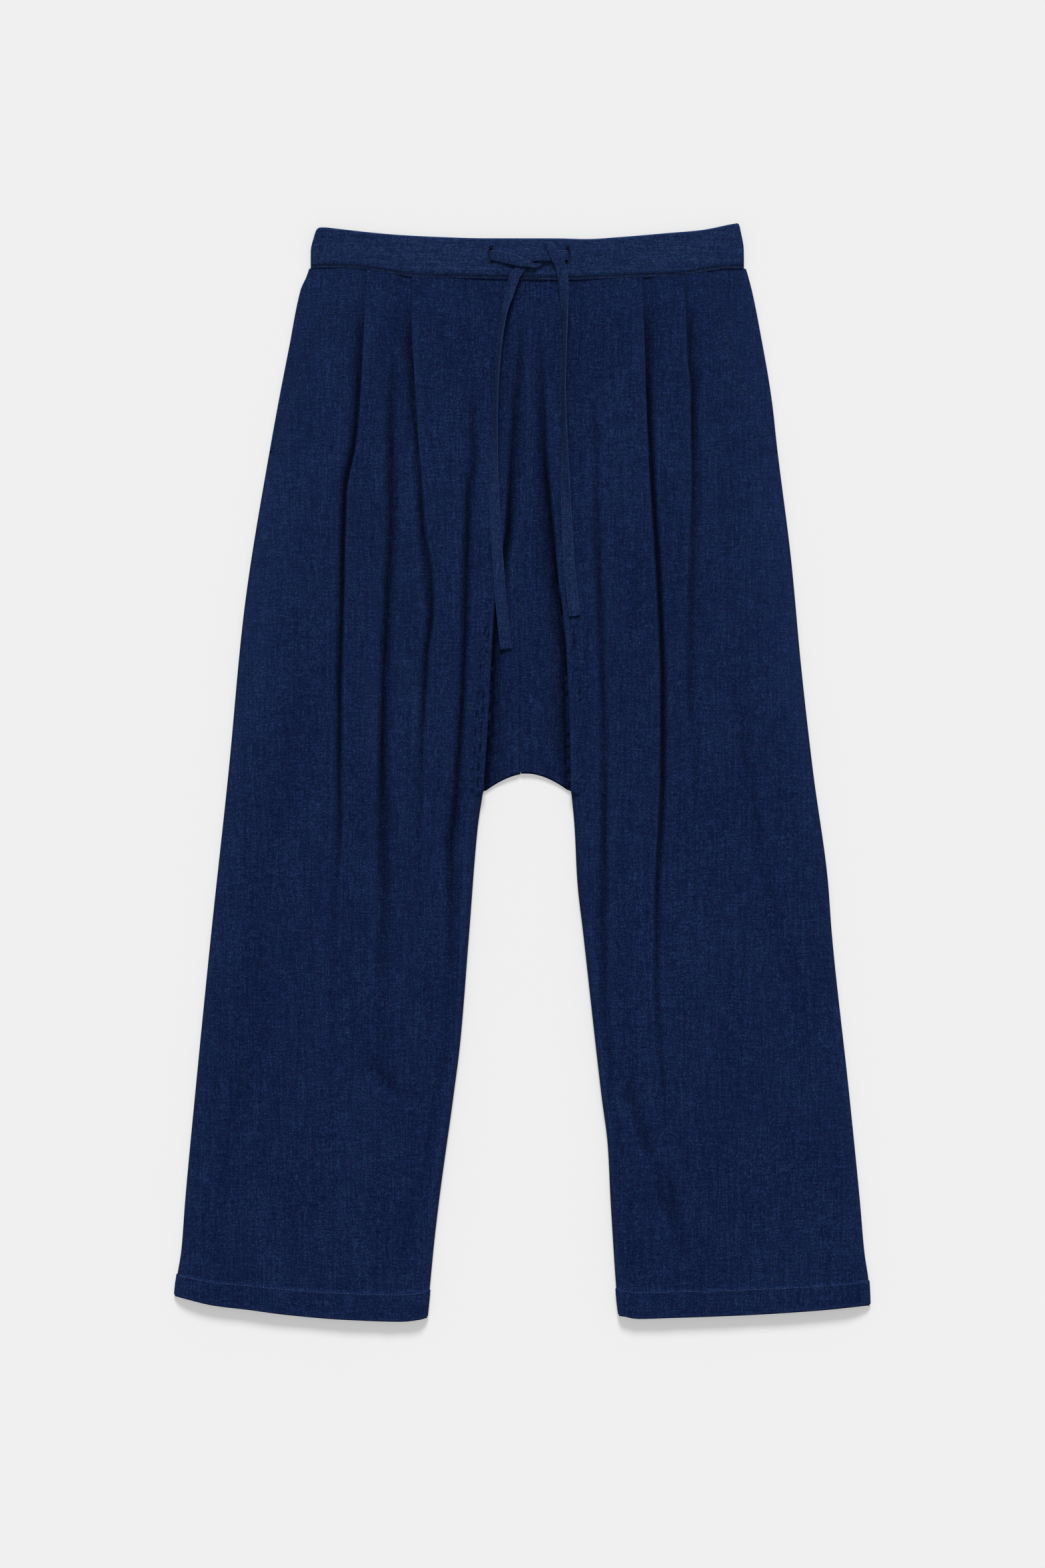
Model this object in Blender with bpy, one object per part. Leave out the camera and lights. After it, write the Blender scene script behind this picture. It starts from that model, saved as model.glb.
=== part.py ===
"""Baggy pull-on jeans laid flat, built as the pieces that are cut and sewn.

Two pleated fronts, two backs, a pocket facing at each hip, a waistband in front and behind,
and the two ends of a flat drawstring tied in a half knot. Tables are in millimetres:
y runs from the hems towards the waist, x to the viewer's right, z up from the surface.
"""
import math

import bmesh
import bpy
from mathutils import Vector

MM = 0.001
CLOTH = 1.2               # wall of one layer of cloth
GAP = 0.3                 # space kept between two pieces at a seam
HALF = CLOTH / 2
FRONT_BASE = CLOTH + GAP + HALF   # lowest middle line of a front above the surface
HEM_DEPTH = 22.0
HEM_EXTRA = 0.7           # turned-up cloth makes the hem this much thicker
BAND_BACK = 2.4           # waistband behind, two layers
BAND_FRONT = 3.0          # waistband in front, two layers over the seam allowance
BAND_BASE = BAND_BACK + GAP
FACING_RISE = 1.2         # height of a pocket facing over its outseam
FACING_UNDER = 14.0       # how far a facing runs on under the slanted opening
POCKET_LIFT = FACING_RISE + CLOTH + GAP + 0.1   # a front's slanted edge above its base
CROTCH_Y = -17.1          # both ends of the arch between the legs
ARCH_TOP = (4.5, 0.3)     # x and y of the arch's highest point
ARCH_POWER = 1.8
WAIST_Y = 448.0           # nominal height of the first row, bent onto the waist seam
HEM_Y = -482.0            # nominal height of the last row, bent onto the hem
BEND_REACH = 70.0         # rows this near to the waist or the hem follow its curve
EYELETS = ((-28.2, 464.6), (40.8, 464.6))
EYELET_SIZE = (3.2, 13.5)
POCKET_END_Y = 287        # where the slanted pocket edge runs into the outseam
POCKET_EDGE_REACH = 16.0  # width of the rounded outer edge beside a pocket
OUTSEAM_REACH = 26.0      # and below it, where the leg is fuller
OUTER_EDGE_HEADINGS = (90, 62, 35, 0)
INSEAM_REACH = 12.0       # greatest width of the rounded inner edge of a leg
LIFT_KEPT = 3.0           # a front stays lifted this far past the facing under it
LIFT_FADE = 16.0          # and comes down over this width
PLEAT_PULL = 11.0         # how far beside its folded edge a pleat pulls the cloth down
BEND_LENGTH = 1.8         # shortest arc at either end of a fold, so that a slight fold is soft
LEAST_STRETCH = 0.92      # a pleat's layers are never pressed flatter than this
BESIDE_FOLD = 1.5         # place of the first point of the cloth beside a fold
MIDDLE_TOP = 60.0         # below this the middle of the front is bent onto the arch
BACK_COLUMNS = 8
BACK_ARCH_DROP = 1.5      # the back shows this much under the front's arch
BACK_HEM_DROP = 1.2       # and under its hem
BAND_COLUMNS_BACK = 20
BAND_COLUMNS_FRONT = 28
TIE_THICK = 1.3
TIE_RING_STEP = 4.5
TIE_RING_POINTS = 8
TIE_EDGE_POWER = 0.4      # below 1 the section is boxy: across its width
TIE_FACE_POWER = 0.7      # and through its thickness

# Columns: x, y of the seam between waistband and panels.
WAIST_SEAM = (
    (-191, 453.4), (-171, 454.3), (-146, 452.8), (-126, 450.3), (-107, 446.9), (-92, 445.4),
    (-51, 444.6), (0, 443.4), (44, 443.1), (80, 444.5), (136, 446.5), (152, 448.4),
    (167, 451.0), (182, 452.9), (200, 453.3))
# Columns: x, y of the folded upper edge of the waistband.
WAIST_TOP = (
    (-191, 489.0), (-179, 490.0), (-165, 488.6), (-137, 485.5), (-109, 483.1), (-68, 481.1),
    (-35, 480.2), (30, 480.1), (58, 479.5), (88, 481.3), (131, 484.9), (160, 487.4),
    (192, 493.5), (200, 494.6))
# Columns: share of the band's height, x of its left end, x of its right end, share of its
# thickness that the fold takes off each face there.
BAND_ENDS = ((0.0, -190.2, 199.5, 0.0), (0.4, -190.2, 199.3, 0.0), (0.8, -187.0, 196.6, 0.0),
             (0.95, -184.9, 195.2, 0.08), (1.0, -182.5, 193.8, 0.28))
# Columns: x, y of the two hems.
HEM = (
    (-313, -470.0), (-302, -473.1), (-278, -478.8), (-246, -482.7), (-213, -487.1),
    (-158, -491.7), (-109, -493.3), (-93, -491.7), (-85, -489.7), (0, -489.0), (88, -488.1),
    (103, -490.8), (136, -489.9), (201, -487.5), (267, -483.3), (313, -478.5))
# Columns: y, x of the seam at the middle of the front.
CENTRE_FRONT = ((453, 6.9), (275, 5.7), (185, -5.1), (95, -2.1), (0, -2.7))
CENTRE_BACK_X = -1.5

# Columns: y, height of the leg, of the valley beside the middle, of the middle itself,
# all above the base line of the front.
LOFT = (
    (453, 0.3, 0.2, 0.3), (431, 0.8, 0.5, 0.8), (395, 2.0, 1.0, 2.0), (359, 3.2, 1.0, 3.0),
    (287, 5.0, 0.8, 3.5), (215, 6.8, 0.5, 3.6), (143, 8.0, 0.1, 3.0), (95, 8.4, 0.0, 2.5),
    (35, 8.6, 0.0, 2.0), (-17, 8.4, 0.0, 1.2), (-150, 8.0, 0.0, 0.0), (-300, 7.5, 0.0, 0.0),
    (-440, 6.6, 0.0, 0.0), (-494, 6.2, 0.0, 0.0))

# A leg's tables give distances out from the middle line of the garment.
# outseam, inseam, slant, between and inside have columns y, out. The last two are the grooves
# between the pleats and on the inner side of the inner pleat.
# pleats and fork have columns y, out, turn in degrees, radius, overlap, and on the pleats rise
# and dip. A turn of 180 is a knife pleat, and a small one is a soft slope.
# Each crease has its reach outwards, its reach inwards, and a table with columns y, out, depth.
LEFT = {
    "side": -1,
    "outseam": ((454, 190.2), (443, 193.5), (431, 199.5), (383, 209.7), (287, 227.7),
                (143, 250.5), (0, 264.3), (-145, 279.9), (-289, 294.3), (-385, 303.3),
                (-433, 306.9), (-475, 312.0), (-494, 313.4)),
    "inseam": ((-17.1, 35.1), (-49, 39.9), (-145, 47.7), (-241, 55.5), (-289, 61.5),
               (-385, 74.7), (-469, 84.3), (-494, 87.0)),
    "slant": ((454, 168.0), (446, 167.1), (432, 170.7), (375, 195.9), (351, 205.5),
              (331, 210.9), (306, 219.3), (287, 224.7)),
    "pleats": (
        ((453, 139.0, 180, 0.90, 9.0, 3.60, 0.0), (431, 140.5, 180, 0.90, 9.0, 3.60, 0.0),
         (400, 141.9, 175, 0.95, 7.0, 4.40, 0.8), (352, 144.3, 150, 1.05, 3.0, 5.30, 2.0),
         (304, 147.3, 110, 1.15, 2.5, 5.40, 3.0), (249, 156.9, 80, 1.40, 2.8, 5.20, 4.0),
         (143, 159.0, 65, 1.60, 3.2, 5.00, 3.8), (71, 160.5, 55, 1.90, 3.2, 4.40, 3.4),
         (-37, 160.5, 45, 2.30, 2.8, 3.40, 2.8), (-109, 163.5, 30, 3.50, 2.6, 2.30, 1.8),
         (-217, 166.0, 15, 7.00, 2.6, 1.10, 0.7), (-325, 165.0, 6, 17.0, 2.6, 0.45, 0.2),
         (-494, 165.0, 4, 26.0, 2.6, 0.30, 0.0)),
        ((453, 99.6, 180, 0.90, 9.0, 3.60, 0.0), (420, 99.3, 180, 0.90, 9.0, 3.60, 0.0),
         (386, 98.7, 175, 0.95, 6.5, 4.30, 0.8), (352, 96.3, 150, 1.00, 1.8, 4.60, 1.6),
         (310, 93.9, 105, 1.10, 1.6, 4.30, 2.0), (269, 90.3, 70, 1.50, 1.8, 3.70, 2.2),
         (215, 85.5, 55, 1.90, 2.0, 3.30, 2.2), (179, 79.5, 50, 2.10, 2.4, 3.40, 2.6),
         (143, 77.7, 50, 2.10, 2.6, 3.50, 2.8), (107, 82.5, 45, 2.30, 2.6, 3.20, 2.4),
         (0, 87.3, 35, 3.00, 2.6, 2.60, 2.0), (-73, 89.0, 25, 4.20, 2.6, 1.90, 1.4),
         (-145, 91.0, 15, 7.00, 2.6, 1.10, 0.7), (-230, 94.0, 6, 17.0, 2.6, 0.45, 0.2),
         (-361, 112.0, 5, 20.0, 2.6, 0.40, 0.1), (-494, 124.0, 4, 26.0, 2.6, 0.30, 0.0))),
    "fork": ((453, 6.0, 8, 1.5, 5.0), (400, 5.7, 15, 1.5, 4.0), (359, 8.7, 25, 1.5, 4.0),
             (287, 13.5, 45, 1.7, 4.0), (215, 16.2, 75, 1.9, 4.0), (179, 22.0, 105, 2.0, 3.5),
             (143, 25.5, 150, 2.0, 4.0), (107, 27.6, 175, 2.1, 5.0), (50, 30.6, 180, 2.1, 6.0),
             (-17.1, 35.1, 180, 2.1, 6.0)),
    "between": ((454, 117.0), (323, 117.9), (251, 117.9), (143, 122.0), (71, 124.5),
                (0, 125.7), (-109, 124.0), (-217, 126.0), (-494, 132.0)),
    "inside": ((454, 50.0), (323, 43.5), (287, 42.3), (251, 47.7), (179, 50.1), (107, 51.9),
               (35, 55.5), (-37, 60.3), (-73, 63.9), (-145, 62.7), (-217, 63.3), (-253, 66.9),
               (-289, 74.7), (-325, 80.1), (-361, 86.7), (-397, 97.5), (-494, 101.0)),
    "creases": (
        (7.0, 12.0, ((400, 117.3, 0.0), (359, 117.3, 1.5), (323, 117.9, 3.0),
                     (251, 117.9, 4.6), (143, 122.0, 5.6), (71, 124.5, 6.0), (0, 125.7, 6.2),
                     (-73, 125.5, 5.6), (-109, 124.0, 5.0), (-181, 126.0, 3.0),
                     (-253, 125.7, 1.5), (-325, 125.0, 0.0))),
        (7.0, 8.0, ((345, 43.5, 0.0), (323, 43.5, 1.0), (287, 42.3, 2.5), (251, 47.7, 3.8),
                    (179, 50.1, 4.8), (107, 51.9, 5.0), (35, 55.5, 5.2), (-37, 60.3, 5.6),
                    (-73, 63.9, 5.6), (-145, 62.7, 4.6), (-217, 63.3, 3.2), (-253, 66.9, 2.8),
                    (-289, 74.7, 2.8), (-325, 80.1, 2.8), (-361, 86.7, 2.2),
                    (-397, 97.5, 2.2), (-433, 103.5, 1.5), (-470, 108.0, 0.4))),
        (18.0, 16.0, ((-100, 240.0, 0.0), (-145, 239.7, 1.2), (-217, 241.5, 1.5),
                      (-289, 247.5, 1.6), (-325, 258.0, 1.8), (-361, 269.0, 1.6),
                      (-433, 280.0, 0.8), (-460, 284.0, 0.0))),
        (12.0, 12.0, ((-250, 140.0, 0.0), (-270, 130.0, 1.8), (-290, 112.0, 2.0),
                      (-306, 98.0, 0.0)))),
}
RIGHT = {
    "side": 1,
    "outseam": ((454, 199.5), (443, 203.1), (431, 206.7), (407, 212.1), (335, 224.7),
                (287, 230.1), (191, 242.1), (95, 251.1), (0, 261.9), (-97, 275.1),
                (-145, 278.7), (-289, 294.3), (-385, 303.9), (-433, 308.1), (-463, 312.0),
                (-494, 313.2)),
    "inseam": ((-17.1, 44.1), (-49, 47.1), (-97, 49.5), (-145, 54.9), (-289, 71.1),
               (-337, 77.1), (-385, 79.5), (-469, 85.5), (-494, 89.2)),
    "slant": ((454, 166.9), (446, 167.6), (434, 170.1), (414, 177.3), (393, 185.7),
              (353, 199.5), (317, 218.7), (287, 228.6)),
    "pleats": (
        ((453, 146.0, 180, 0.90, 9.0, 3.60, 0.0), (431, 146.7, 180, 0.90, 9.0, 3.60, 0.0),
         (379, 147.9, 170, 1.00, 4.0, 4.60, 1.2), (340, 150.9, 115, 1.10, 1.2, 4.20, 1.8),
         (275, 151.5, 65, 1.60, 1.8, 3.50, 2.0), (215, 150.3, 45, 2.30, 2.2, 2.90, 1.8),
         (143, 147.3, 35, 3.00, 2.2, 2.30, 1.5), (71, 146.0, 20, 5.20, 2.2, 1.40, 0.8),
         (0, 150.0, 8, 13.0, 2.2, 0.55, 0.3), (-494, 158.0, 4, 26.0, 2.6, 0.30, 0.0)),
        ((453, 108.9, 180, 0.90, 9.0, 3.60, 0.0), (414, 108.9, 180, 0.95, 9.0, 3.80, 0.2),
         (379, 110.0, 177, 1.00, 8.0, 4.40, 1.0), (338, 111.0, 165, 1.10, 5.5, 5.70, 2.4),
         (287, 113.0, 145, 1.25, 4.0, 6.80, 4.4), (250, 115.0, 128, 1.40, 3.4, 7.20, 5.4),
         (200, 119.5, 112, 1.50, 3.4, 7.30, 6.2), (143, 123.0, 100, 1.60, 3.8, 7.50, 6.8),
         (71, 125.0, 95, 1.70, 3.9, 7.60, 7.1), (0, 125.0, 95, 1.70, 3.8, 7.50, 7.0),
         (-73, 121.5, 90, 1.70, 3.6, 7.00, 6.4), (-109, 119.0, 80, 1.80, 3.3, 6.20, 5.6),
         (-181, 118.5, 60, 2.00, 3.2, 4.80, 4.2), (-253, 121.0, 35, 3.20, 3.2, 3.00, 2.5),
         (-325, 126.0, 15, 7.00, 2.6, 1.20, 0.9), (-494, 134.0, 4, 26.0, 2.6, 0.30, 0.0))),
    "fork": ((453, 22.0, 8, 1.5, 5.0), (400, 21.3, 15, 1.5, 4.0), (359, 22.5, 25, 1.5, 4.0),
             (287, 24.3, 45, 1.7, 4.0), (215, 29.7, 70, 1.9, 4.0), (179, 32.1, 100, 2.0, 3.5),
             (143, 36.9, 145, 2.0, 4.0), (107, 39.9, 175, 2.1, 5.0), (50, 42.5, 180, 2.1, 6.0),
             (-17.1, 44.1, 180, 2.1, 6.0)),
    "between": ((454, 127.0), (287, 131.0), (143, 137.0), (0, 140.0), (-494, 146.0)),
    "inside": ((454, 64.0), (251, 66.3), (179, 68.7), (107, 71.0), (35, 73.0), (-37, 73.5),
               (-109, 73.0), (-217, 72.9), (-289, 79.0), (-325, 88.0), (-379, 110.0),
               (-494, 116.0)),
    "creases": (
        (6.0, 6.0, ((345, 66.0, 0.0), (323, 66.3, 1.0), (251, 66.3, 2.0), (179, 68.7, 2.8),
                    (107, 71.0, 2.6), (35, 73.0, 3.0), (-37, 73.5, 4.0), (-109, 73.0, 4.6),
                    (-145, 71.7, 4.6), (-217, 72.9, 4.0), (-253, 75.9, 3.0),
                    (-289, 79.0, 2.5), (-325, 83.7, 1.5), (-361, 90.0, 0.0))),
        (9.0, 9.0, ((-276, 90.0, 0.0), (-294, 96.3, 2.4), (-343, 115.0, 3.2),
                    (-379, 130.0, 3.4), (-417, 140.0, 2.2), (-446, 147.0, 0.0))),
        (18.0, 16.0, ((110, 190.0, 0.0), (35, 196.5, 1.0), (0, 202.0, 1.3), (-37, 209.7, 1.6),
                      (-73, 215.7, 1.8), (-145, 225.0, 1.6), (-217, 253.0, 1.2),
                      (-290, 256.0, 0.0)))),
}

ROWS_ABOVE = (WAIST_Y, 431, 408, 380, 350, 318, 287, 268, 235, 200, 165, 130, 95, 60, 28, 5,
              CROTCH_Y)
ROWS_BELOW = (-42, -80, -125, -170, -215, -260, -305, -345, -385, -425, HEM_Y + HEM_DEPTH + 1,
              HEM_Y + HEM_DEPTH, HEM_Y)
FACING_ROWS = (WAIST_Y, 431, 408, 380, 350, 318, 300, 289)

# Route of each drawstring end. Columns: x, y, z, width, roll in degrees.
TIE_FROM_LEFT = (
    (-28.2, 464.6, 4.0, 9.0, 0), (-27.7, 464.6, 6.3, 9.0, 0), (-23.5, 464.2, 6.8, 9.4, 0),
    (-12.0, 461.8, 7.2, 10.0, 0), (-3.0, 459.2, 8.4, 9.0, 0), (4.5, 457.2, 8.8, 6.5, 0),
    (10.0, 455.2, 8.3, 4.6, 0), (14.2, 455.6, 7.0, 4.0, 0), (17.0, 459.4, 6.75, 4.6, 0),
    (19.0, 464.5, 6.75, 5.6, 0), (20.4, 469.8, 6.7, 6.2, 0), (22.4, 473.4, 8.4, 7.0, 0),
    (26.2, 470.4, 9.7, 8.4, 0), (30.5, 463.0, 9.2, 9.6, 0), (34.2, 455.0, 8.0, 9.6, 6),
    (36.6, 443.4, 7.4, 9.6, 14), (37.6, 430.0, 7.2, 9.8, 35), (38.4, 408.0, 9.0, 10.0, 60),
    (38.0, 372.0, 10.6, 10.0, 72), (37.4, 342.0, 11.4, 10.0, 72), (38.0, 300.0, 12.0, 10.0, 60),
    (38.4, 270.0, 11.8, 10.0, 40), (39.6, 235.0, 11.3, 10.0, 20), (41.4, 200.0, 11.1, 10.0, 6),
    (44.4, 165.0, 11.3, 10.2, 0), (47.2, 140.4, 11.6, 10.4, 0))
TIE_FROM_RIGHT = (
    (40.8, 464.6, 4.0, 9.0, 0), (40.3, 464.6, 6.3, 9.0, 0), (36.2, 464.5, 6.8, 9.2, 0),
    (30.0, 464.2, 6.8, 9.2, 0), (23.5, 463.8, 8.2, 8.6, 0), (17.0, 463.4, 8.7, 8.2, 0),
    (11.0, 462.4, 8.0, 7.0, 0), (6.0, 460.0, 6.8, 6.2, 0), (1.5, 456.2, 6.75, 6.8, 0),
    (-2.5, 451.0, 6.8, 8.2, 0), (-7.0, 444.4, 7.3, 8.8, 10), (-11.4, 430.0, 7.2, 9.4, 35),
    (-15.9, 413.0, 8.8, 10.0, 60), (-20.0, 383.0, 10.4, 10.0, 72),
    (-23.1, 342.0, 11.4, 10.0, 72), (-24.6, 306.0, 11.4, 10.0, 58),
    (-25.5, 271.5, 10.9, 10.0, 35), (-24.6, 236.0, 10.8, 10.0, 15),
    (-22.5, 201.0, 11.3, 10.0, 0), (-20.4, 172.0, 11.4, 10.0, 0), (-18.9, 152.0, 10.2, 10.2, 0),
    (-17.0, 132.0, 8.0, 10.2, 0), (-14.7, 111.0, 6.4, 10.4, 0))

DENIM = (0.0080, 0.0160, 0.0480, 1.0)
DENIM_BAND = (0.0090, 0.0175, 0.0500, 1.0)
DENIM_TIE = (0.0110, 0.0215, 0.0560, 1.0)


def clear_scene():
    for item in list(bpy.data.objects):
        bpy.data.objects.remove(item, do_unlink=True)


def track(rows, at, column=1):
    """Smooth value of a column at a place in a table sorted by its first column."""
    rows = sorted(rows)
    keys = [row[0] for row in rows]
    values = [row[column] for row in rows]
    if at <= keys[0]:
        return values[0]
    if at >= keys[-1]:
        return values[-1]
    last = next(i for i in range(1, len(keys)) if at <= keys[i])
    first = last - 1
    steps = [(values[i + 1] - values[i]) / (keys[i + 1] - keys[i]) for i in range(len(keys) - 1)]

    def slope(i):
        if i == 0 or i == len(keys) - 1:
            return steps[min(i, len(steps) - 1)]
        before, after = steps[i - 1], steps[i]
        return 0.0 if before * after <= 0 else 2 * before * after / (before + after)

    width = keys[last] - keys[first]
    t = (at - keys[first]) / width
    return ((1 + 2 * t) * (1 - t) ** 2 * values[first] + t * (1 - t) ** 2 * width * slope(first)
            + t * t * (3 - 2 * t) * values[last] - t * t * (1 - t) * width * slope(last))


def ease(t):
    t = min(max(t, 0.0), 1.0)
    return t * t * (3 - 2 * t)


def mix(a, b, t):
    return a + (b - a) * t


def outer_edge(leg, y):
    """Outer limit of a front: its slanted pocket edge above, the outseam below."""
    if y >= POCKET_END_Y:
        return -track(leg["slant"], y)
    return -track(leg["outseam"], y)


def low_side(leg, pleat, x, y):
    """How far a pleat pulls the cloth down beside its folded edge."""
    distance = -track(pleat, y, 1) - x
    return track(pleat, y, 6) * math.exp(-(distance / PLEAT_PULL) ** 2) if distance > 0 else 0.0


def height(leg, x, y):
    """Middle line of a front above its base, without the layers of its pleats."""
    loft = track(LOFT, y, 1)
    from_edge = x - outer_edge(leg, y)
    if y >= POCKET_END_Y and loft < POCKET_LIFT:
        loft += (POCKET_LIFT - loft) * (1 - ease((from_edge - FACING_UNDER - LIFT_KEPT) / LIFT_FADE))
    for reach_out, reach_in, rows in leg["creases"]:
        distance = x + track(rows, y, 1)
        reach = reach_in if distance > 0 else reach_out
        loft -= track(rows, y, 2) * math.exp(-(distance / reach) ** 2)
    for pleat in leg["pleats"]:
        loft -= low_side(leg, pleat, x, y)
    return max(loft, 0.0)


def turn(points, start, end, radius, steps):
    """Continue a section along an arc whose heading goes from start to end, in radians."""
    part = (end - start) / steps
    length = 2 * radius * abs(math.sin(part / 2))
    for i in range(steps):
        heading = start + part * (i + 0.5)
        x, z = points[-1]
        points.append((x + length * math.cos(heading), z + length * math.sin(heading)))


def pleat_points(leg, pleat, y):
    """Layers of one pleat, from the low cloth outside it to the high cloth inside."""
    out, degrees, radius, overlap, rise = (track(pleat, y, i) for i in range(1, 6))
    angle = math.radians(degrees)
    radius = max(radius, BEND_LENGTH / angle)
    edge = -out
    points = [(0.0, 0.0)]
    turn(points, 0.0, angle, radius, 3)
    x, z = points[-1]
    points.append((x + overlap * math.cos(angle), z + overlap * math.sin(angle)))
    upright = min(angle, math.pi / 2)
    edge_x = points[-1][0] + radius * (math.sin(angle) - math.sin(upright))
    turn(points, angle, 0.0, radius, 3)
    low = height(leg, edge + min(points[0][0] - edge_x, -2.0), y)
    scale = max(rise / points[-1][1], LEAST_STRETCH)
    return [(edge + x - edge_x, low + z * scale) for x, z in points]


def span(leg, y, start, end, rise_excess, places):
    """Points of the cloth between two folds; what a pleat lifts sinks back towards the end."""
    points = []
    for x in places:
        sink = 1 - ease((x - start) / max(end - start, 1.0))
        points.append((x, height(leg, x, y) + rise_excess * sink))
    return points


def leg_section(leg, y, fork_turn, inner, inner_reach):
    """Middle line of a front across one leg, from its outer edge to its inner edge."""
    edge = outer_edge(leg, y) + HALF
    pocket = y >= POCKET_END_Y
    reach = POCKET_EDGE_REACH if pocket else OUTSEAM_REACH
    top = height(leg, edge + reach, y)
    drop = top - (POCKET_LIFT if pocket else 0.0)
    points = []
    for degrees in OUTER_EDGE_HEADINGS:
        angle = math.radians(degrees)
        points.append((edge + reach * (1 - math.sin(angle)), top - drop * (1 - math.cos(angle))))
    outer_pleat, inner_pleat = leg["pleats"]
    outer_x, inner_x = -track(outer_pleat, y), -track(inner_pleat, y)
    start = points[-1][0]
    folded = pleat_points(leg, outer_pleat, y)
    end = min(outer_x - 2, folded[0][0] - BESIDE_FOLD)
    points += span(leg, y, start, end, 0.0, [mix(start, end, t) for t in (0.35, 0.7, 1)])
    points += folded
    middle = -track(leg["between"], y)
    flat = max(folded[0][0], folded[1][0], folded[-1][0]) + BESIDE_FOLD
    excess = folded[-1][1] - height(leg, flat, y)
    folded = pleat_points(leg, inner_pleat, y)
    end = min(inner_x - 2, folded[0][0] - BESIDE_FOLD)
    places = (flat, max(middle - 6, flat + 2), middle, min(middle + 7, end - 2), end)
    points += span(leg, y, flat, end, excess, places)
    points += folded
    groove = -track(leg["inside"], y)
    room = min(6.0, 0.4 * (inner - groove))
    flat = max(folded[0][0], folded[1][0], folded[-1][0]) + BESIDE_FOLD
    excess = folded[-1][1] - height(leg, flat, y)
    before = max(groove - 7, flat + 4)
    groove = max(groove, before + 2)
    places = (flat, mix(flat, before, 0.55), before, groove, groove + room)
    points += span(leg, y, flat, before, excess, places)
    upright = min(fork_turn, math.pi / 2)
    across, down = inner_reach
    first = inner - across * math.sin(upright)
    top = height(leg, first, y)
    down = top if down is None else down
    for i in range(4):
        angle = upright * i / 3
        points.append((first + across * math.sin(angle), top - down * (1 - math.cos(angle))))
    return points


def front_section(leg, y):
    """Middle line across a front above the crotch, and how many points belong to the leg."""
    out, degrees, radius, overlap = (track(leg["fork"], y, i) for i in range(1, 5))
    angle = math.radians(degrees)
    radius = max(radius, BEND_LENGTH / angle)
    points = leg_section(leg, y, angle, -out, (radius, radius))
    leg_count = len(points)
    upright = min(angle, math.pi / 2)
    arc = radius * (angle - upright)
    full = arc + overlap
    tight = ease((degrees - 90) / 50)
    folded = [(0.0, 0.0)]
    for along in (mix(full / 3, arc / 2, tight), mix(full * 2 / 3, arc, tight), full):
        turned = upright + min(along, arc) / radius
        straight = max(along - arc, 0.0)
        folded.append((radius * (math.sin(turned) - math.sin(upright))
                       + straight * math.cos(angle),
                       radius * (math.cos(turned) - math.cos(upright))
                       - straight * math.sin(angle)))
    turn(folded, -angle, 0.0, radius, 3)
    valley = track(LOFT, y, 2)
    edge_x, edge_z = points[-1]
    scale = (edge_z - valley) / -folded[-1][1]
    points += [(edge_x + x, edge_z + z * scale) for x, z in folded[1:]]
    centre = -leg["side"] * track(CENTRE_FRONT, y) - GAP / 2
    start = points[-1][0]
    for t in (0.3, 0.62, 1.0):
        points.append((mix(start, centre, t), mix(valley, track(LOFT, y, 3), ease(t))))
    return points, leg_count


def lower_section(leg, y):
    """Middle line across a front below the crotch."""
    inner = -track(leg["inseam"], y) - HALF
    groove = -track(leg["inside"], y)
    reach = min(INSEAM_REACH, 0.45 * (inner - groove))
    return leg_section(leg, y, math.pi / 2, inner, (reach, None))


def walls(points, above, below):
    """Upper and lower face of a section, square to its middle line."""
    upper, lower = [], []
    for i, (x, z) in enumerate(points):
        before = points[max(i - 1, 0)]
        after = points[min(i + 1, len(points) - 1)]
        first = math.atan2(z - before[1], x - before[0])
        second = math.atan2(after[1] - z, after[0] - x)
        if i == 0:
            first = second
        if i == len(points) - 1:
            second = first
        bend = math.remainder(second - first, 2 * math.pi)
        heading = first + bend / 2
        stretch = 1 / max(math.cos(bend / 2), 0.5)
        side = (-math.sin(heading) * stretch, math.cos(heading) * stretch)
        upper.append((x + side[0] * above, z + side[1] * above))
        lower.append((x - side[0] * below, z - side[1] * below))
    return upper, lower


def arch(x, leg):
    """Lower edge between the legs at a place across the garment."""
    end = leg["side"] * track(leg["inseam"], CROTCH_Y)
    t = min(abs((x - ARCH_TOP[0]) / (end - ARCH_TOP[0])), 1.0)
    if (x - ARCH_TOP[0]) * (end - ARCH_TOP[0]) < 0:
        t = 0.0
    return ARCH_TOP[1] + (CROTCH_Y - ARCH_TOP[1]) * t ** ARCH_POWER


def bent_y(y, x, leg, middle, arch_drop=0.0):
    """A row's y after it is bent onto the waist seam, the hem or the arch."""
    near_waist = max(0.0, (y - WAIST_Y + BEND_REACH) / BEND_REACH) ** 2
    near_hem = max(0.0, (HEM_Y + BEND_REACH - y) / BEND_REACH) ** 2
    moved = y + near_waist * (track(WAIST_SEAM, x) - WAIST_Y) + near_hem * (track(HEM, x) - HEM_Y)
    if middle and y < MIDDLE_TOP:
        share = (MIDDLE_TOP - y) / (MIDDLE_TOP - CROTCH_Y)
        moved += (arch(x, leg) - arch_drop - CROTCH_Y) * share ** 2
    return moved


def material(name, colour, roughness):
    made = bpy.data.materials.new(name)
    made.use_nodes = True
    shader = made.node_tree.nodes["Principled BSDF"]
    shader.inputs["Base Color"].default_value = colour
    shader.inputs["Roughness"].default_value = roughness
    shader.inputs["Metallic"].default_value = 0.0
    return made


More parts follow.
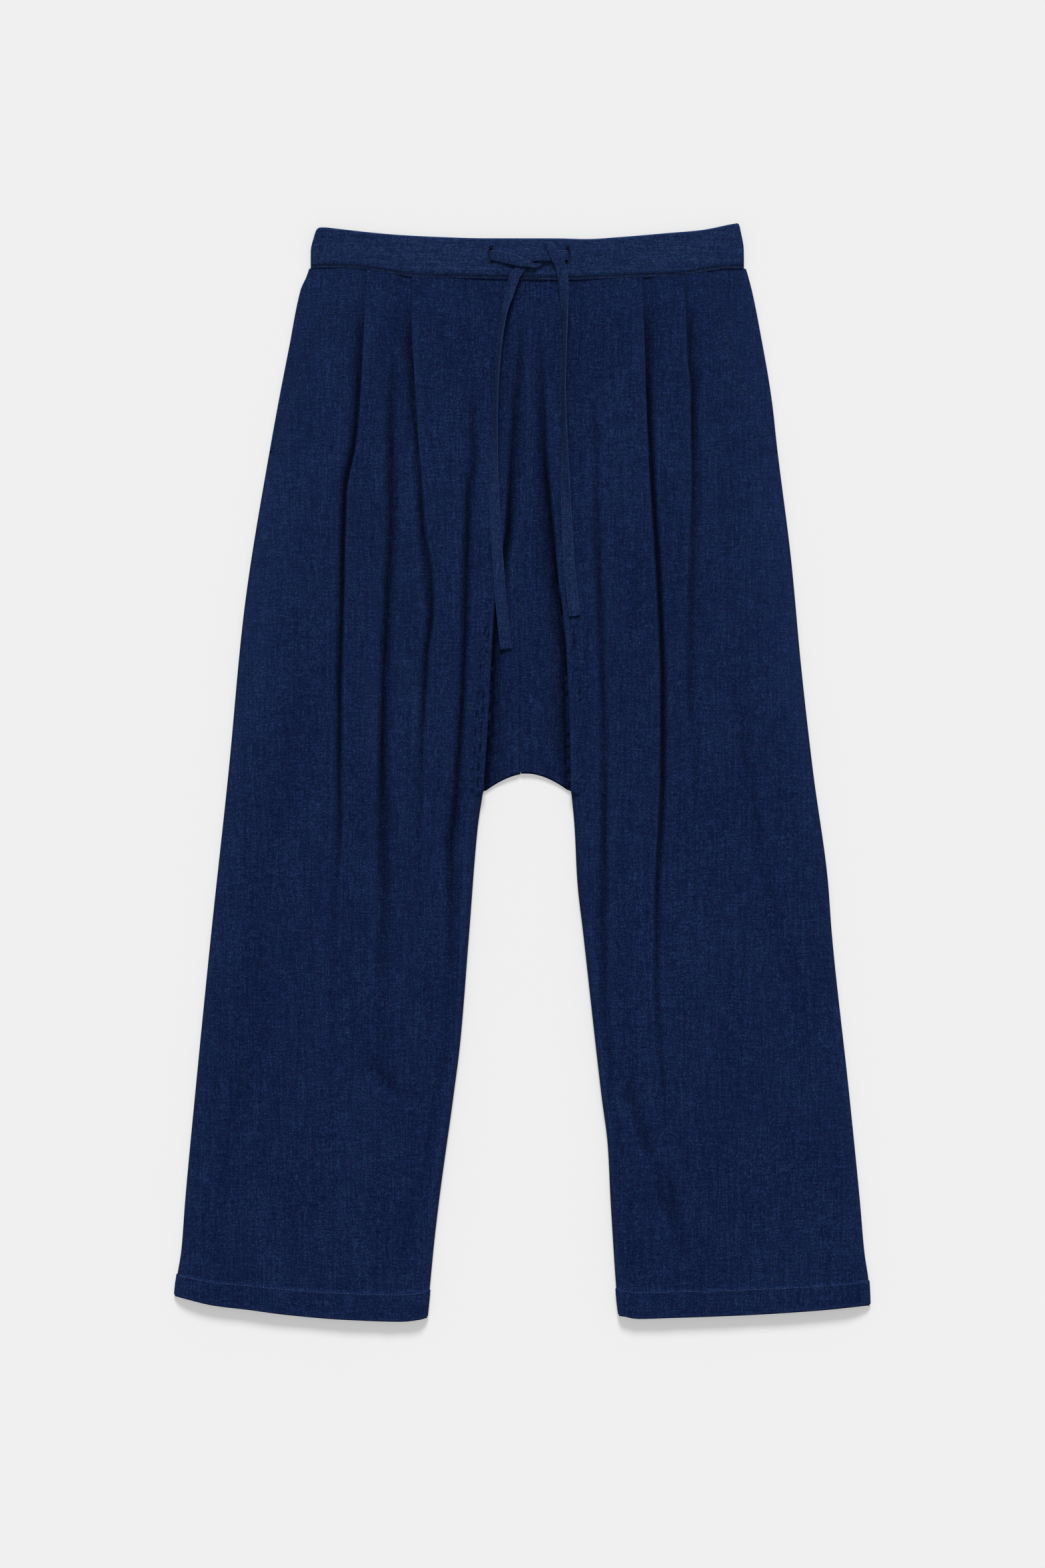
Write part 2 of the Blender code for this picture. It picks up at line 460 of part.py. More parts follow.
def add_object(name, points, faces, finish):
    """One named object from points in millimetres, its faces turned outwards."""
    mesh = bpy.data.meshes.new(name)
    mesh.from_pydata([Vector(point) * MM for point in points], [], faces)
    solid = bmesh.new()
    solid.from_mesh(mesh)
    bmesh.ops.recalc_face_normals(solid, faces=solid.faces)
    solid.to_mesh(mesh)
    solid.free()
    mesh.materials.append(finish)
    made = bpy.data.objects.new(name, mesh)
    bpy.context.collection.objects.link(made)
    return made


def shell(name, upper, lower, cells, finish):
    """Closed wall from two sheets of points and the four-cornered cells between them."""
    keys = sorted(upper)
    number = {key: i for i, key in enumerate(keys)}
    shift = len(keys)
    faces, edges = [], {}
    for cell in cells:
        ring = [number[key] for key in cell]
        faces.append(ring)
        faces.append([i + shift for i in reversed(ring)])
        for a, b in zip(ring, ring[1:] + ring[:1]):
            edges[a, b] = True
    for a, b in edges:
        if (b, a) not in edges:
            faces.append([b, a, a + shift, b + shift])
    return add_object(name, [upper[k] for k in keys] + [lower[k] for k in keys], faces, finish)


def grid_cells(rows, columns):
    return [((r, c), (r, c + 1), (r + 1, c + 1), (r + 1, c))
            for r in range(rows - 1) for c in range(columns - 1)]


def make_front(name, leg, finish):
    """A front panel: the leg from waist to hem, and the middle down to the arch."""
    upper, lower, cells = {}, {}, []
    side = leg["side"]
    for r, y in enumerate(ROWS_ABOVE + ROWS_BELOW):
        if y >= CROTCH_Y:
            points, leg_count = front_section(leg, y)
        else:
            points = lower_section(leg, y)
            leg_count = len(points)
        above = HALF + (HEM_EXTRA if y <= HEM_Y + HEM_DEPTH else 0.0)
        for sheet, faces in zip((upper, lower), walls(points, above, HALF)):
            for c, (x, z) in enumerate(faces):
                world_x = -side * x
                world_y = bent_y(y, world_x, leg, c >= leg_count)
                if r == 0:
                    world_y -= GAP
                sheet[r, c] = (world_x, world_y, z + FRONT_BASE)
        if r > 0:
            columns = len(points)
            cells += [((r - 1, c), (r - 1, c + 1), (r, c + 1), (r, c)) for c in range(columns - 1)]
    return shell(name, upper, lower, cells, finish)


def make_back(name, leg, finish):
    """A back panel, flat on the surface, a little longer than the front at hem and arch."""
    upper, lower, cells = {}, {}, []
    side = leg["side"]
    rows = ROWS_ABOVE[::2] + ROWS_BELOW[1::2] + (HEM_Y,)
    for r, y in enumerate(sorted(set(rows), reverse=True)):
        inner = track(leg["inseam"], y)
        outer = track(leg["outseam"], y)
        places = [mix(outer, inner, c / (BACK_COLUMNS - 1)) for c in range(BACK_COLUMNS)]
        if y >= CROTCH_Y:
            centre = side * CENTRE_BACK_X + GAP / 2
            places += [mix(inner, centre, t) for t in (0.5, 1)]
        for c, out in enumerate(places):
            world_x = side * out
            world_y = bent_y(y, world_x, leg, c >= BACK_COLUMNS, BACK_ARCH_DROP)
            if y == HEM_Y:
                world_y -= BACK_HEM_DROP
            if r == 0:
                world_y -= 2 * GAP
            upper[r, c] = (world_x, world_y, CLOTH)
            lower[r, c] = (world_x, world_y, 0.0)
        if r > 0:
            cells += [((r - 1, c), (r - 1, c + 1), (r, c + 1), (r, c))
                      for c in range(len(places) - 1)]
    return shell(name, upper, lower, cells, finish)


def make_facing(name, leg, finish):
    """The piece that shows between a slanted pocket edge and the outseam."""
    upper, lower = {}, {}
    for r, y in enumerate(FACING_ROWS):
        outer = -track(leg["outseam"], y) + HALF
        inner = -track(leg["slant"], y) + FACING_UNDER
        points = [(outer, 0.0), (outer + 1.2, 0.6 * FACING_RISE), (outer + 4.0, FACING_RISE),
                  (mix(outer + 4.0, inner, 0.5), FACING_RISE), (inner, FACING_RISE)]
        for sheet, faces in zip((upper, lower), walls(points, HALF, HALF)):
            for c, (x, z) in enumerate(faces):
                world_x = -leg["side"] * x
                world_y = bent_y(y, world_x, leg, False) - (GAP if r == 0 else 0.0)
                sheet[r, c] = (world_x, world_y, z + FRONT_BASE)
    return shell(name, upper, lower, grid_cells(len(FACING_ROWS), len(points)), finish)


def make_band(name, base, thickness, columns, finish):
    """Half of the waistband, folded along its upper edge and thinner there."""
    upper, lower = {}, {}
    for r, (share, left, right, thin) in enumerate(BAND_ENDS):
        for c in range(columns):
            x = mix(left, right, c / (columns - 1))
            y = mix(track(WAIST_SEAM, x), track(WAIST_TOP, x), share)
            upper[r, c] = (x, y, base + thickness * (1 - thin))
            lower[r, c] = (x, y, base + (thickness * thin if base > 0 else 0.0))
    return shell(name, upper, lower, grid_cells(len(BAND_ENDS), columns), finish)


def cut_eyelets(band):
    """Two upright slits through the front of the waistband."""
    for i, (x, y) in enumerate(EYELETS):
        bpy.ops.mesh.primitive_cube_add(size=1, location=Vector((x, y, BAND_BASE)) * MM)
        cutter = bpy.context.active_object
        cutter.name = f"eyelet_cutter_{i}"
        cutter.scale = (EYELET_SIZE[0] * MM, EYELET_SIZE[1] * MM, 20 * MM)
        cutter.hide_render = True
        cutter.display_type = "WIRE"
        cut = band.modifiers.new(f"eyelet_{i}", "BOOLEAN")
        cut.operation = "DIFFERENCE"
        cut.solver = "EXACT"
        cut.object = cutter


def smooth_route(route):
    """Stations about one ring step apart on a smooth curve through a route's own points."""
    stations = []
    count = len(route)
    for i in range(count - 1):
        four = [Vector(route[min(max(i + k, 0), count - 1)]) for k in (-1, 0, 1, 2)]
        steps = max(1, round((four[2] - four[1]).to_3d().length / TIE_RING_STEP))
        for k in range(steps):
            t = k / steps
            stations.append(0.5 * (2 * four[1] + (four[2] - four[0]) * t
                                   + (2 * four[0] - 5 * four[1] + 4 * four[2] - four[3]) * t ** 2
                                   + (3 * four[1] - four[0] - 3 * four[2] + four[3]) * t ** 3))
    stations.append(Vector(route[-1]))
    return stations


def make_tie(name, route, finish):
    """A flat cord with rounded edges, swept along its route."""
    stations = smooth_route(route)
    points, faces = [], []
    across = Vector((0, 1, 0))
    for i, station in enumerate(stations):
        centre = Vector(station[:3])
        before = Vector(stations[max(i - 1, 0)][:3])
        after = Vector(stations[min(i + 1, len(stations) - 1)][:3])
        along = (after - before).normalized()
        flat = across - along * across.dot(along)
        level = Vector((along.y, -along.x, 0))
        if level.length > 0.5:
            flat = level if level.dot(across) > 0 else -level
        across = flat.normalized()
        roll = math.radians(station[4])
        normal = along.cross(across)
        wide = across * math.cos(roll) + normal * math.sin(roll)
        thick = along.cross(wide)
        for k in range(TIE_RING_POINTS):
            angle = 2 * math.pi * (k + 0.5) / TIE_RING_POINTS
            w = math.copysign(abs(math.cos(angle)) ** TIE_EDGE_POWER, math.cos(angle))
            h = math.copysign(abs(math.sin(angle)) ** TIE_FACE_POWER, math.sin(angle))
            points.append(centre + wide * w * station[3] / 2 + thick * h * TIE_THICK / 2)
    rings = len(stations)
    for i in range(rings - 1):
        for k in range(TIE_RING_POINTS):
            a = i * TIE_RING_POINTS + k
            b = i * TIE_RING_POINTS + (k + 1) % TIE_RING_POINTS
            faces.append([a, b, b + TIE_RING_POINTS, a + TIE_RING_POINTS])
    faces.append(list(range(TIE_RING_POINTS)))
    faces.append([(rings - 1) * TIE_RING_POINTS + k for k in range(TIE_RING_POINTS)])
    return add_object(name, points, faces, finish)


def main():
    clear_scene()
    denim = material("indigo_denim", DENIM, 0.9)
    band_denim = material("indigo_denim_waistband", DENIM_BAND, 0.9)
    tie_denim = material("indigo_denim_drawstring", DENIM_TIE, 0.88)
    for word, leg in (("left", LEFT), ("right", RIGHT)):
        make_front(f"front_{word}", leg, denim)
        make_back(f"back_{word}", leg, denim)
        make_facing(f"pocket_facing_{word}", leg, denim)
    make_band("waistband_back", 0.0, BAND_BACK, BAND_COLUMNS_BACK, band_denim)
    front = make_band("waistband_front", BAND_BASE, BAND_FRONT, BAND_COLUMNS_FRONT, band_denim)
    cut_eyelets(front)
    make_tie("drawstring_left", TIE_FROM_LEFT, tie_denim)
    make_tie("drawstring_right", TIE_FROM_RIGHT, tie_denim)


main()
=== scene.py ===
"""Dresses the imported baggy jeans: fine cloth, seams, stitches, drawstring, light and camera.

The garment lies flat with its back on the floor. Its tables are in millimetres, as in the
model that it dresses: y runs from the hems to the waist, x to the viewer's right, z up.
Run it as a script; each piece has an operator, and the sidebar panel lists them.
"""

import math

import bpy
import numpy as np
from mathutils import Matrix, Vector, noise
from mathutils.bvhtree import BVHTree


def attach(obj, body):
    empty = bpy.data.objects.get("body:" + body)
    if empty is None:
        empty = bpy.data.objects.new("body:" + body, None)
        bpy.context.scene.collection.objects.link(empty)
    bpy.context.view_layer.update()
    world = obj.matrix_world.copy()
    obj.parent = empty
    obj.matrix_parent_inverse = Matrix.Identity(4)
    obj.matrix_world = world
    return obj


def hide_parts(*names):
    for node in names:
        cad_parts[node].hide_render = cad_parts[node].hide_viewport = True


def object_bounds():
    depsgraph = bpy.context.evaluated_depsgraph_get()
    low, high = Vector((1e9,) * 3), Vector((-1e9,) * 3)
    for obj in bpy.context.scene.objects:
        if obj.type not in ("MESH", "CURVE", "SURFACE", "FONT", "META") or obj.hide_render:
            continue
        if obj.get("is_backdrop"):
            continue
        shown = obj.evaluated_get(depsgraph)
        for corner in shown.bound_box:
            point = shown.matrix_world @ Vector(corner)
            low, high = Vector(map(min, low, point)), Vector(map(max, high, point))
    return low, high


bl_info = {
    "name": "Baggy jeans laid flat",
    "version": (1, 0, 0),
    "blender": (4, 5, 0),
    "location": "3D View > Sidebar > Jeans",
    "description": "Pleated pull-on jeans with a drawstring, as fine cloth around a packed model",
    "category": "Add Mesh",
}

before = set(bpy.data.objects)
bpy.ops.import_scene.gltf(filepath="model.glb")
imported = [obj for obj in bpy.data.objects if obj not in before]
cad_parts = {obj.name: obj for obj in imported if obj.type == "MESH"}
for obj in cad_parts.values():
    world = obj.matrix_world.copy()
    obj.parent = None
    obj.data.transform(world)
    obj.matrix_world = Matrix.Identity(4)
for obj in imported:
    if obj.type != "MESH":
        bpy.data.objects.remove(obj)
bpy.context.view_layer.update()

MM = 0.001
CLOTH = 1.2               # the model's wall, whose middle lines the fine cloth follows
GAP = 0.3
HALF = CLOTH / 2
FRONT_BASE = CLOTH + GAP + HALF
HEM_DEPTH = 22.0
BAND_BACK = 2.4
BAND_FRONT = 3.0
BAND_BASE = BAND_BACK + GAP
BAND_DEPTH = 36.0
BAND_ROUND = 1.6
FACING_RISE = 1.2
FACING_UNDER = 14.0
POCKET_LIFT = FACING_RISE + CLOTH + GAP + 0.1
CROTCH_Y = -17.1
ARCH_TOP = (4.5, 0.3)
ARCH_POWER = 1.8
WAIST_Y = 448.0
HEM_Y = -482.0
BEND_REACH = 70.0
EYELETS = ((-28.2, 464.6), (40.8, 464.6))
EYELET_SIZE = (3.2, 13.5)
POCKET_END_Y = 287
POCKET_EDGE_REACH = 16.0
OUTSEAM_REACH = 26.0
INSEAM_REACH = 12.0
LIFT_KEPT = 3.0
LIFT_FADE = 16.0
BEND_LENGTH = 1.8
LEAST_STRETCH = 0.92
BESIDE_FOLD = 1.5
MIDDLE_TOP = 60.0
BACK_ARCH_DROP = 1.5
BACK_HEM_DROP = 1.2
TIE_THICK = 1.3

# Columns: x, y of the seam between waistband and panels.
WAIST_SEAM = (
    (-191, 453.4), (-171, 454.3), (-146, 452.8), (-126, 450.3), (-107, 446.9), (-92, 445.4),
    (-51, 444.6), (0, 443.4), (44, 443.1), (80, 444.5), (136, 446.5), (152, 448.4),
    (167, 451.0), (182, 452.9), (200, 453.3))
# Columns: x, y of the folded upper edge of the waistband.
WAIST_TOP = (
    (-191, 489.0), (-179, 490.0), (-165, 488.6), (-137, 485.5), (-109, 483.1), (-68, 481.1),
    (-35, 480.2), (30, 480.1), (58, 479.5), (88, 481.3), (131, 484.9), (160, 487.4),
    (192, 493.5), (200, 494.6))
# Columns: share of the band's height, x of its left end, x of its right end.
BAND_ENDS = ((0.0, -190.2, 199.5), (0.4, -190.2, 199.3), (0.8, -187.0, 196.6),
             (0.95, -184.9, 195.2), (1.0, -182.5, 193.8))
# Columns: x, y of the two hems.
HEM = (
    (-313, -470.0), (-302, -473.1), (-278, -478.8), (-246, -482.7), (-213, -487.1),
    (-158, -491.7), (-109, -493.3), (-93, -491.7), (-85, -489.7), (0, -489.0), (88, -488.1),
    (103, -490.8), (136, -489.9), (201, -487.5), (267, -483.3), (313, -478.5))
# Columns: y, x of the seam at the middle of the front.
CENTRE_FRONT = ((453, 6.9), (275, 5.7), (185, -5.1), (95, -2.1), (0, -2.7))
CENTRE_BACK_X = -1.5

# Columns: y, height of the leg, of the valley beside the middle, of the middle itself,
# all above the base line of the front.
LOFT = (
    (453, 0.3, 0.2, 0.3), (431, 0.8, 0.5, 0.8), (395, 2.0, 1.0, 2.0), (359, 3.2, 1.0, 3.0),
    (287, 5.0, 0.8, 3.5), (215, 6.8, 0.5, 3.6), (143, 8.0, 0.1, 3.0), (95, 8.4, 0.0, 2.5),
    (35, 8.6, 0.0, 2.0), (-17, 8.4, 0.0, 1.2), (-150, 8.0, 0.0, 0.0), (-300, 7.5, 0.0, 0.0),
    (-440, 6.6, 0.0, 0.0), (-494, 6.2, 0.0, 0.0))

# A leg's tables give distances out from the middle line of the garment.
# outseam, inseam and slant have columns y, out.
# pleats and fork have columns y, out, turn in degrees, radius, overlap, and on the pleats rise
# and dip. A turn of 180 is a knife pleat, and a small one is a soft slope.
# Each crease has its reach outwards, its reach inwards, and a table with columns y, out, depth.
LEFT = {
    "side": -1,
    "outseam": ((454, 190.2), (443, 193.5), (431, 199.5), (383, 209.7), (287, 227.7),
                (143, 250.5), (0, 264.3), (-145, 279.9), (-289, 294.3), (-385, 303.3),
                (-433, 306.9), (-475, 312.0), (-494, 313.4)),
    "inseam": ((-17.1, 35.1), (-49, 39.9), (-145, 47.7), (-241, 55.5), (-289, 61.5),
               (-385, 74.7), (-469, 84.3), (-494, 87.0)),
    "slant": ((454, 168.0), (446, 167.1), (432, 170.7), (375, 195.9), (351, 205.5),
              (331, 210.9), (306, 219.3), (287, 224.7)),
    "pleats": (
        ((453, 139.0, 180, 0.90, 9.0, 3.60, 0.0), (431, 140.5, 180, 0.90, 9.0, 3.60, 0.0),
         (400, 141.9, 175, 0.95, 7.0, 4.40, 0.8), (352, 144.3, 150, 1.05, 3.0, 5.30, 2.0),
         (304, 147.3, 110, 1.15, 2.5, 5.40, 3.0), (249, 156.9, 80, 1.40, 2.8, 5.20, 4.0),
         (143, 159.0, 65, 1.60, 3.2, 5.00, 3.8), (71, 160.5, 55, 1.90, 3.2, 4.40, 3.4),
         (-37, 160.5, 45, 2.30, 2.8, 3.40, 2.8), (-109, 163.5, 30, 3.50, 2.6, 2.30, 1.8),
         (-217, 166.0, 15, 7.00, 2.6, 1.10, 0.7), (-325, 165.0, 6, 17.0, 2.6, 0.45, 0.2),
         (-494, 165.0, 4, 26.0, 2.6, 0.30, 0.0)),
        ((453, 99.6, 180, 0.90, 9.0, 3.60, 0.0), (420, 99.3, 180, 0.90, 9.0, 3.60, 0.0),
         (386, 98.7, 175, 0.95, 6.5, 4.30, 0.8), (352, 96.3, 150, 1.00, 1.8, 4.60, 1.6),
         (310, 93.9, 105, 1.10, 1.6, 4.30, 2.0), (269, 90.3, 70, 1.50, 1.8, 3.70, 2.2),
         (215, 85.5, 55, 1.90, 2.0, 3.30, 2.2), (179, 79.5, 50, 2.10, 2.4, 3.40, 2.6),
         (143, 77.7, 50, 2.10, 2.6, 3.50, 2.8), (107, 82.5, 45, 2.30, 2.6, 3.20, 2.4),
         (0, 87.3, 35, 3.00, 2.6, 2.60, 2.0), (-73, 89.0, 25, 4.20, 2.6, 1.90, 1.4),
         (-145, 91.0, 15, 7.00, 2.6, 1.10, 0.7), (-230, 94.0, 6, 17.0, 2.6, 0.45, 0.2),
         (-361, 112.0, 5, 20.0, 2.6, 0.40, 0.1), (-494, 124.0, 4, 26.0, 2.6, 0.30, 0.0))),
    "pulls": (7.0, 8.0),
    "fork": ((453, 6.0, 8, 1.5, 5.0), (400, 5.7, 15, 1.5, 4.0), (359, 8.7, 25, 1.5, 4.0),
             (287, 13.5, 45, 1.7, 4.0), (215, 16.2, 75, 1.9, 4.0), (179, 22.0, 105, 2.0, 3.5),
             (143, 25.5, 150, 2.0, 4.0), (107, 27.6, 175, 2.1, 5.0), (50, 30.6, 180, 2.1, 6.0),
             (-17.1, 35.1, 180, 2.1, 6.0)),
    "creases": (
        (7.0, 12.0, ((400, 117.3, 0.0), (359, 117.3, 1.5), (323, 117.9, 3.0),
                     (251, 117.9, 4.6), (143, 122.0, 5.6), (71, 124.5, 6.0), (0, 125.7, 6.2),
                     (-73, 125.5, 5.6), (-109, 124.0, 5.0), (-181, 126.0, 3.0),
                     (-253, 125.7, 1.5), (-325, 125.0, 0.0))),
        (7.0, 8.0, ((345, 43.5, 0.0), (323, 43.5, 1.0), (287, 42.3, 2.5), (251, 47.7, 3.8),
                    (179, 50.1, 4.8), (107, 51.9, 5.0), (35, 55.5, 5.2), (-37, 60.3, 5.6),
                    (-73, 63.9, 5.6), (-145, 62.7, 4.6), (-217, 63.3, 3.2), (-253, 66.9, 2.8),
                    (-289, 74.7, 2.8), (-325, 80.1, 2.8), (-361, 86.7, 2.2),
                    (-397, 97.5, 2.2), (-433, 103.5, 1.5), (-470, 108.0, 0.4))),
        (18.0, 16.0, ((-100, 240.0, 0.0), (-145, 239.7, 1.2), (-217, 241.5, 1.5),
                      (-289, 247.5, 1.6), (-325, 258.0, 1.8), (-361, 269.0, 1.6),
                      (-433, 280.0, 0.8), (-460, 284.0, 0.0))),
        (12.0, 12.0, ((-250, 140.0, 0.0), (-270, 130.0, 1.8), (-290, 112.0, 2.0),
                      (-306, 98.0, 0.0)))),
}
RIGHT = {
    "side": 1,
    "outseam": ((454, 199.5), (443, 203.1), (431, 206.7), (407, 212.1), (335, 224.7),
                (287, 230.1), (191, 242.1), (95, 251.1), (0, 261.9), (-97, 275.1),
                (-145, 278.7), (-289, 294.3), (-385, 303.9), (-433, 308.1), (-463, 312.0),
                (-494, 313.2)),
    "inseam": ((-17.1, 44.1), (-49, 47.1), (-97, 49.5), (-145, 54.9), (-289, 71.1),
               (-337, 77.1), (-385, 79.5), (-469, 85.5), (-494, 89.2)),
    "slant": ((454, 166.9), (446, 167.6), (434, 170.1), (414, 177.3), (393, 185.7),
              (353, 199.5), (317, 218.7), (287, 228.6)),
    "pleats": (
        ((453, 146.0, 180, 0.90, 9.0, 3.60, 0.0), (431, 146.7, 180, 0.90, 9.0, 3.60, 0.0),
         (379, 147.9, 170, 1.00, 4.0, 4.60, 1.2), (340, 150.9, 115, 1.10, 1.2, 4.20, 1.8),
         (275, 151.5, 65, 1.60, 1.8, 3.50, 2.0), (215, 150.3, 45, 2.30, 2.2, 2.90, 1.8),
         (143, 147.3, 35, 3.00, 2.2, 2.30, 1.5), (71, 146.0, 20, 5.20, 2.2, 1.40, 0.8),
         (0, 150.0, 8, 13.0, 2.2, 0.55, 0.3), (-494, 158.0, 4, 26.0, 2.6, 0.30, 0.0)),
        ((453, 108.9, 180, 0.90, 9.0, 3.60, 0.0), (414, 108.9, 180, 0.95, 9.0, 3.80, 0.2),
         (379, 110.0, 177, 1.00, 8.0, 4.40, 1.0), (338, 111.0, 150, 1.10, 4.0, 5.00, 2.6),
         (287, 113.0, 110, 1.30, 2.6, 5.00, 4.2), (250, 115.0, 80, 1.50, 2.6, 4.80, 5.0),
         (200, 118.0, 65, 1.70, 2.8, 4.60, 5.6), (143, 121.0, 58, 1.90, 2.8, 4.40, 6.2),
         (71, 123.0, 55, 2.00, 2.8, 4.20, 6.4), (0, 123.0, 55, 2.00, 2.8, 4.20, 6.4),
         (-73, 120.0, 52, 2.00, 2.8, 4.00, 6.0), (-109, 118.0, 48, 2.10, 2.8, 3.80, 5.4),
         (-181, 117.5, 42, 2.40, 2.8, 3.30, 4.2), (-253, 120.0, 30, 3.40, 2.8, 2.50, 2.5),
         (-325, 126.0, 15, 7.00, 2.6, 1.20, 0.9), (-494, 134.0, 4, 26.0, 2.6, 0.30, 0.0))),
    "pulls": (9.0, 6.5),
    "fork": ((453, 22.0, 8, 1.5, 5.0), (400, 21.3, 15, 1.5, 4.0), (359, 22.5, 25, 1.5, 4.0),
             (287, 24.3, 45, 1.7, 4.0), (215, 29.7, 70, 1.9, 4.0), (179, 32.1, 100, 2.0, 3.5),
             (143, 36.9, 145, 2.0, 4.0), (107, 39.9, 175, 2.1, 5.0), (50, 42.5, 180, 2.1, 6.0),
             (-17.1, 44.1, 180, 2.1, 6.0)),
    "creases": (
        (6.0, 6.0, ((345, 66.0, 0.0), (323, 66.3, 1.0), (251, 66.3, 2.0), (179, 68.7, 2.8),
                    (107, 71.0, 2.6), (35, 73.0, 3.0), (-37, 73.5, 4.0), (-109, 73.0, 4.6),
                    (-145, 71.7, 4.6), (-217, 72.9, 4.0), (-253, 75.9, 3.0),
                    (-289, 79.0, 2.5), (-325, 83.7, 1.5), (-361, 90.0, 0.0))),
        (9.0, 9.0, ((-276, 90.0, 0.0), (-294, 96.3, 2.4), (-343, 115.0, 3.2),
                    (-379, 130.0, 3.4), (-417, 140.0, 2.2), (-446, 147.0, 0.0))),
        (18.0, 16.0, ((110, 190.0, 0.0), (35, 196.5, 1.0), (0, 202.0, 1.3), (-37, 209.7, 1.6),
                      (-73, 215.7, 1.8), (-145, 225.0, 1.6), (-217, 253.0, 1.2),
                      (-290, 256.0, 0.0)))),
}

# Route of each drawstring end. Columns: x, y, z, width, roll in degrees.
TIE_FROM_LEFT = (
    (-28.2, 464.6, 4.0, 9.0, 0), (-27.7, 464.6, 6.3, 9.0, 0), (-23.5, 464.2, 6.8, 9.4, 0),
    (-12.0, 461.8, 7.2, 10.0, 0), (-3.0, 459.2, 8.4, 9.0, 0), (4.5, 457.2, 8.8, 6.5, 0),
    (10.0, 455.2, 8.3, 4.6, 0), (14.2, 455.6, 7.0, 4.0, 0), (17.0, 459.4, 6.75, 4.6, 0),
    (19.0, 464.5, 6.75, 5.6, 0), (20.4, 469.8, 6.7, 6.2, 0), (22.4, 473.4, 8.4, 7.0, 0),
    (26.2, 470.4, 9.7, 8.4, 0), (30.5, 463.0, 9.2, 9.6, 0), (34.2, 455.0, 8.0, 9.6, 6),
    (36.6, 443.4, 7.4, 9.6, 14), (37.6, 430.0, 7.2, 9.8, 35), (38.4, 408.0, 9.0, 10.0, 60),
    (38.0, 372.0, 10.6, 10.0, 72), (37.4, 342.0, 11.4, 10.0, 72), (38.0, 300.0, 12.0, 10.0, 60),
    (38.4, 270.0, 11.8, 10.0, 40), (39.6, 235.0, 11.3, 10.0, 20), (41.4, 200.0, 11.1, 10.0, 6),
    (44.4, 165.0, 11.3, 10.2, 0), (47.2, 140.4, 11.6, 10.4, 0))
TIE_FROM_RIGHT = (
    (40.8, 464.6, 4.0, 9.0, 0), (40.3, 464.6, 6.3, 9.0, 0), (36.2, 464.5, 6.8, 9.2, 0),
    (30.0, 464.2, 6.8, 9.2, 0), (23.5, 463.8, 8.2, 8.6, 0), (17.0, 463.4, 8.7, 8.2, 0),
    (11.0, 462.4, 8.0, 7.0, 0), (6.0, 460.0, 6.8, 6.2, 0), (1.5, 456.2, 6.75, 6.8, 0),
    (-2.5, 451.0, 6.8, 8.2, 0), (-7.0, 444.4, 7.3, 8.8, 10), (-11.4, 430.0, 7.2, 9.4, 35),
    (-15.9, 413.0, 8.8, 10.0, 60), (-20.0, 383.0, 10.4, 10.0, 72),
    (-23.1, 342.0, 11.4, 10.0, 72), (-24.6, 306.0, 11.4, 10.0, 58),
    (-25.5, 271.5, 10.9, 10.0, 35), (-24.6, 236.0, 10.8, 10.0, 15),
    (-22.5, 201.0, 11.3, 10.0, 0), (-20.4, 172.0, 11.4, 10.0, 0), (-18.9, 152.0, 10.2, 10.2, 0),
    (-17.0, 132.0, 8.0, 10.2, 0), (-14.7, 111.0, 6.4, 10.4, 0))

# Soft troughs over the legs, apart from the pleats and grooves of the tables above.
# Columns: x and y of one end, x and y of the other, width, depth. A negative depth is a ridge.
RUMPLES = (
    (-148, 392, -150, 330, 6.0, 0.7), (-152, 270, -157, 225, 5.0, 0.5),
    (-120, 345, -119, 250, 5.0, 0.9), (-92, 245, -88, 165, 5.0, 1.0),
    (-83, 165, -86, 60, 6.0, 1.0), (-48, 330, -50, 200, 9.0, 0.6),
    (-176, 320, -188, 240, 11.0, -0.7), (-222, 200, -232, 90, 12.0, -0.6),
    (-205, 60, -216, -60, 14.0, 0.6), (-232, -20, -244, -150, 10.0, -0.6),
    (-186, -90, -192, -220, 9.0, 0.7), (-165, -170, -168, -330, 8.0, 0.8),
    (-140, -250, -104, -306, 9.0, 1.6), (-128, -262, -98, -300, 6.0, -0.8),
    (-103, -320, -92, -352, 5.0, 1.4), (-97, -352, -108, -400, 4.5, 1.2),
    (-94, -380, -90, -440, 5.0, -0.7), (-247, -250, -272, -390, 12.0, 1.0),
    (-285, -330, -292, -430, 9.0, -0.6), (-222, -300, -228, -430, 12.0, -0.5),
    (-200, -390, -204, -450, 10.0, 0.6), (-150, -370, -154, -440, 9.0, 0.5),
    (68, 200, 71, 120, 7.0, 0.7), (99, 275, 103, 215, 5.0, 0.7),
    (103, 180, 98, 118, 6.0, 0.8), (90, 60, 92, -40, 8.0, 0.5),
    (160, 330, 176, 250, 11.0, -0.7), (183, 240, 192, 120, 10.0, 0.5),
    (212, 250, 226, 150, 8.0, -0.6), (152, 130, 154, 20, 8.0, 0.6),
    (176, 60, 182, -60, 9.0, -0.6), (194, 70, 212, -60, 10.0, 0.9),
    (212, -60, 226, -130, 8.0, 1.1), (226, -130, 246, -200, 9.0, 0.9),
    (180, -40, 176, -170, 11.0, 0.7), (236, -60, 243, -130, 6.0, -0.8),
    (170, -330, 174, -400, 14.0, 1.0), (222, -370, 246, -425, 13.0, 0.9),
    (96, -285, 112, -345, 6.0, 1.6), (112, -345, 140, -420, 7.0, 1.4),
    (126, -330, 152, -420, 9.0, -0.8), (100, -400, 122, -450, 8.0, -0.7),
    (285, -400, 292, -455, 8.0, 0.8), (262, -250, 270, -360, 9.0, -0.6),
    (140, -150, 146, -280, 9.0, -0.5))

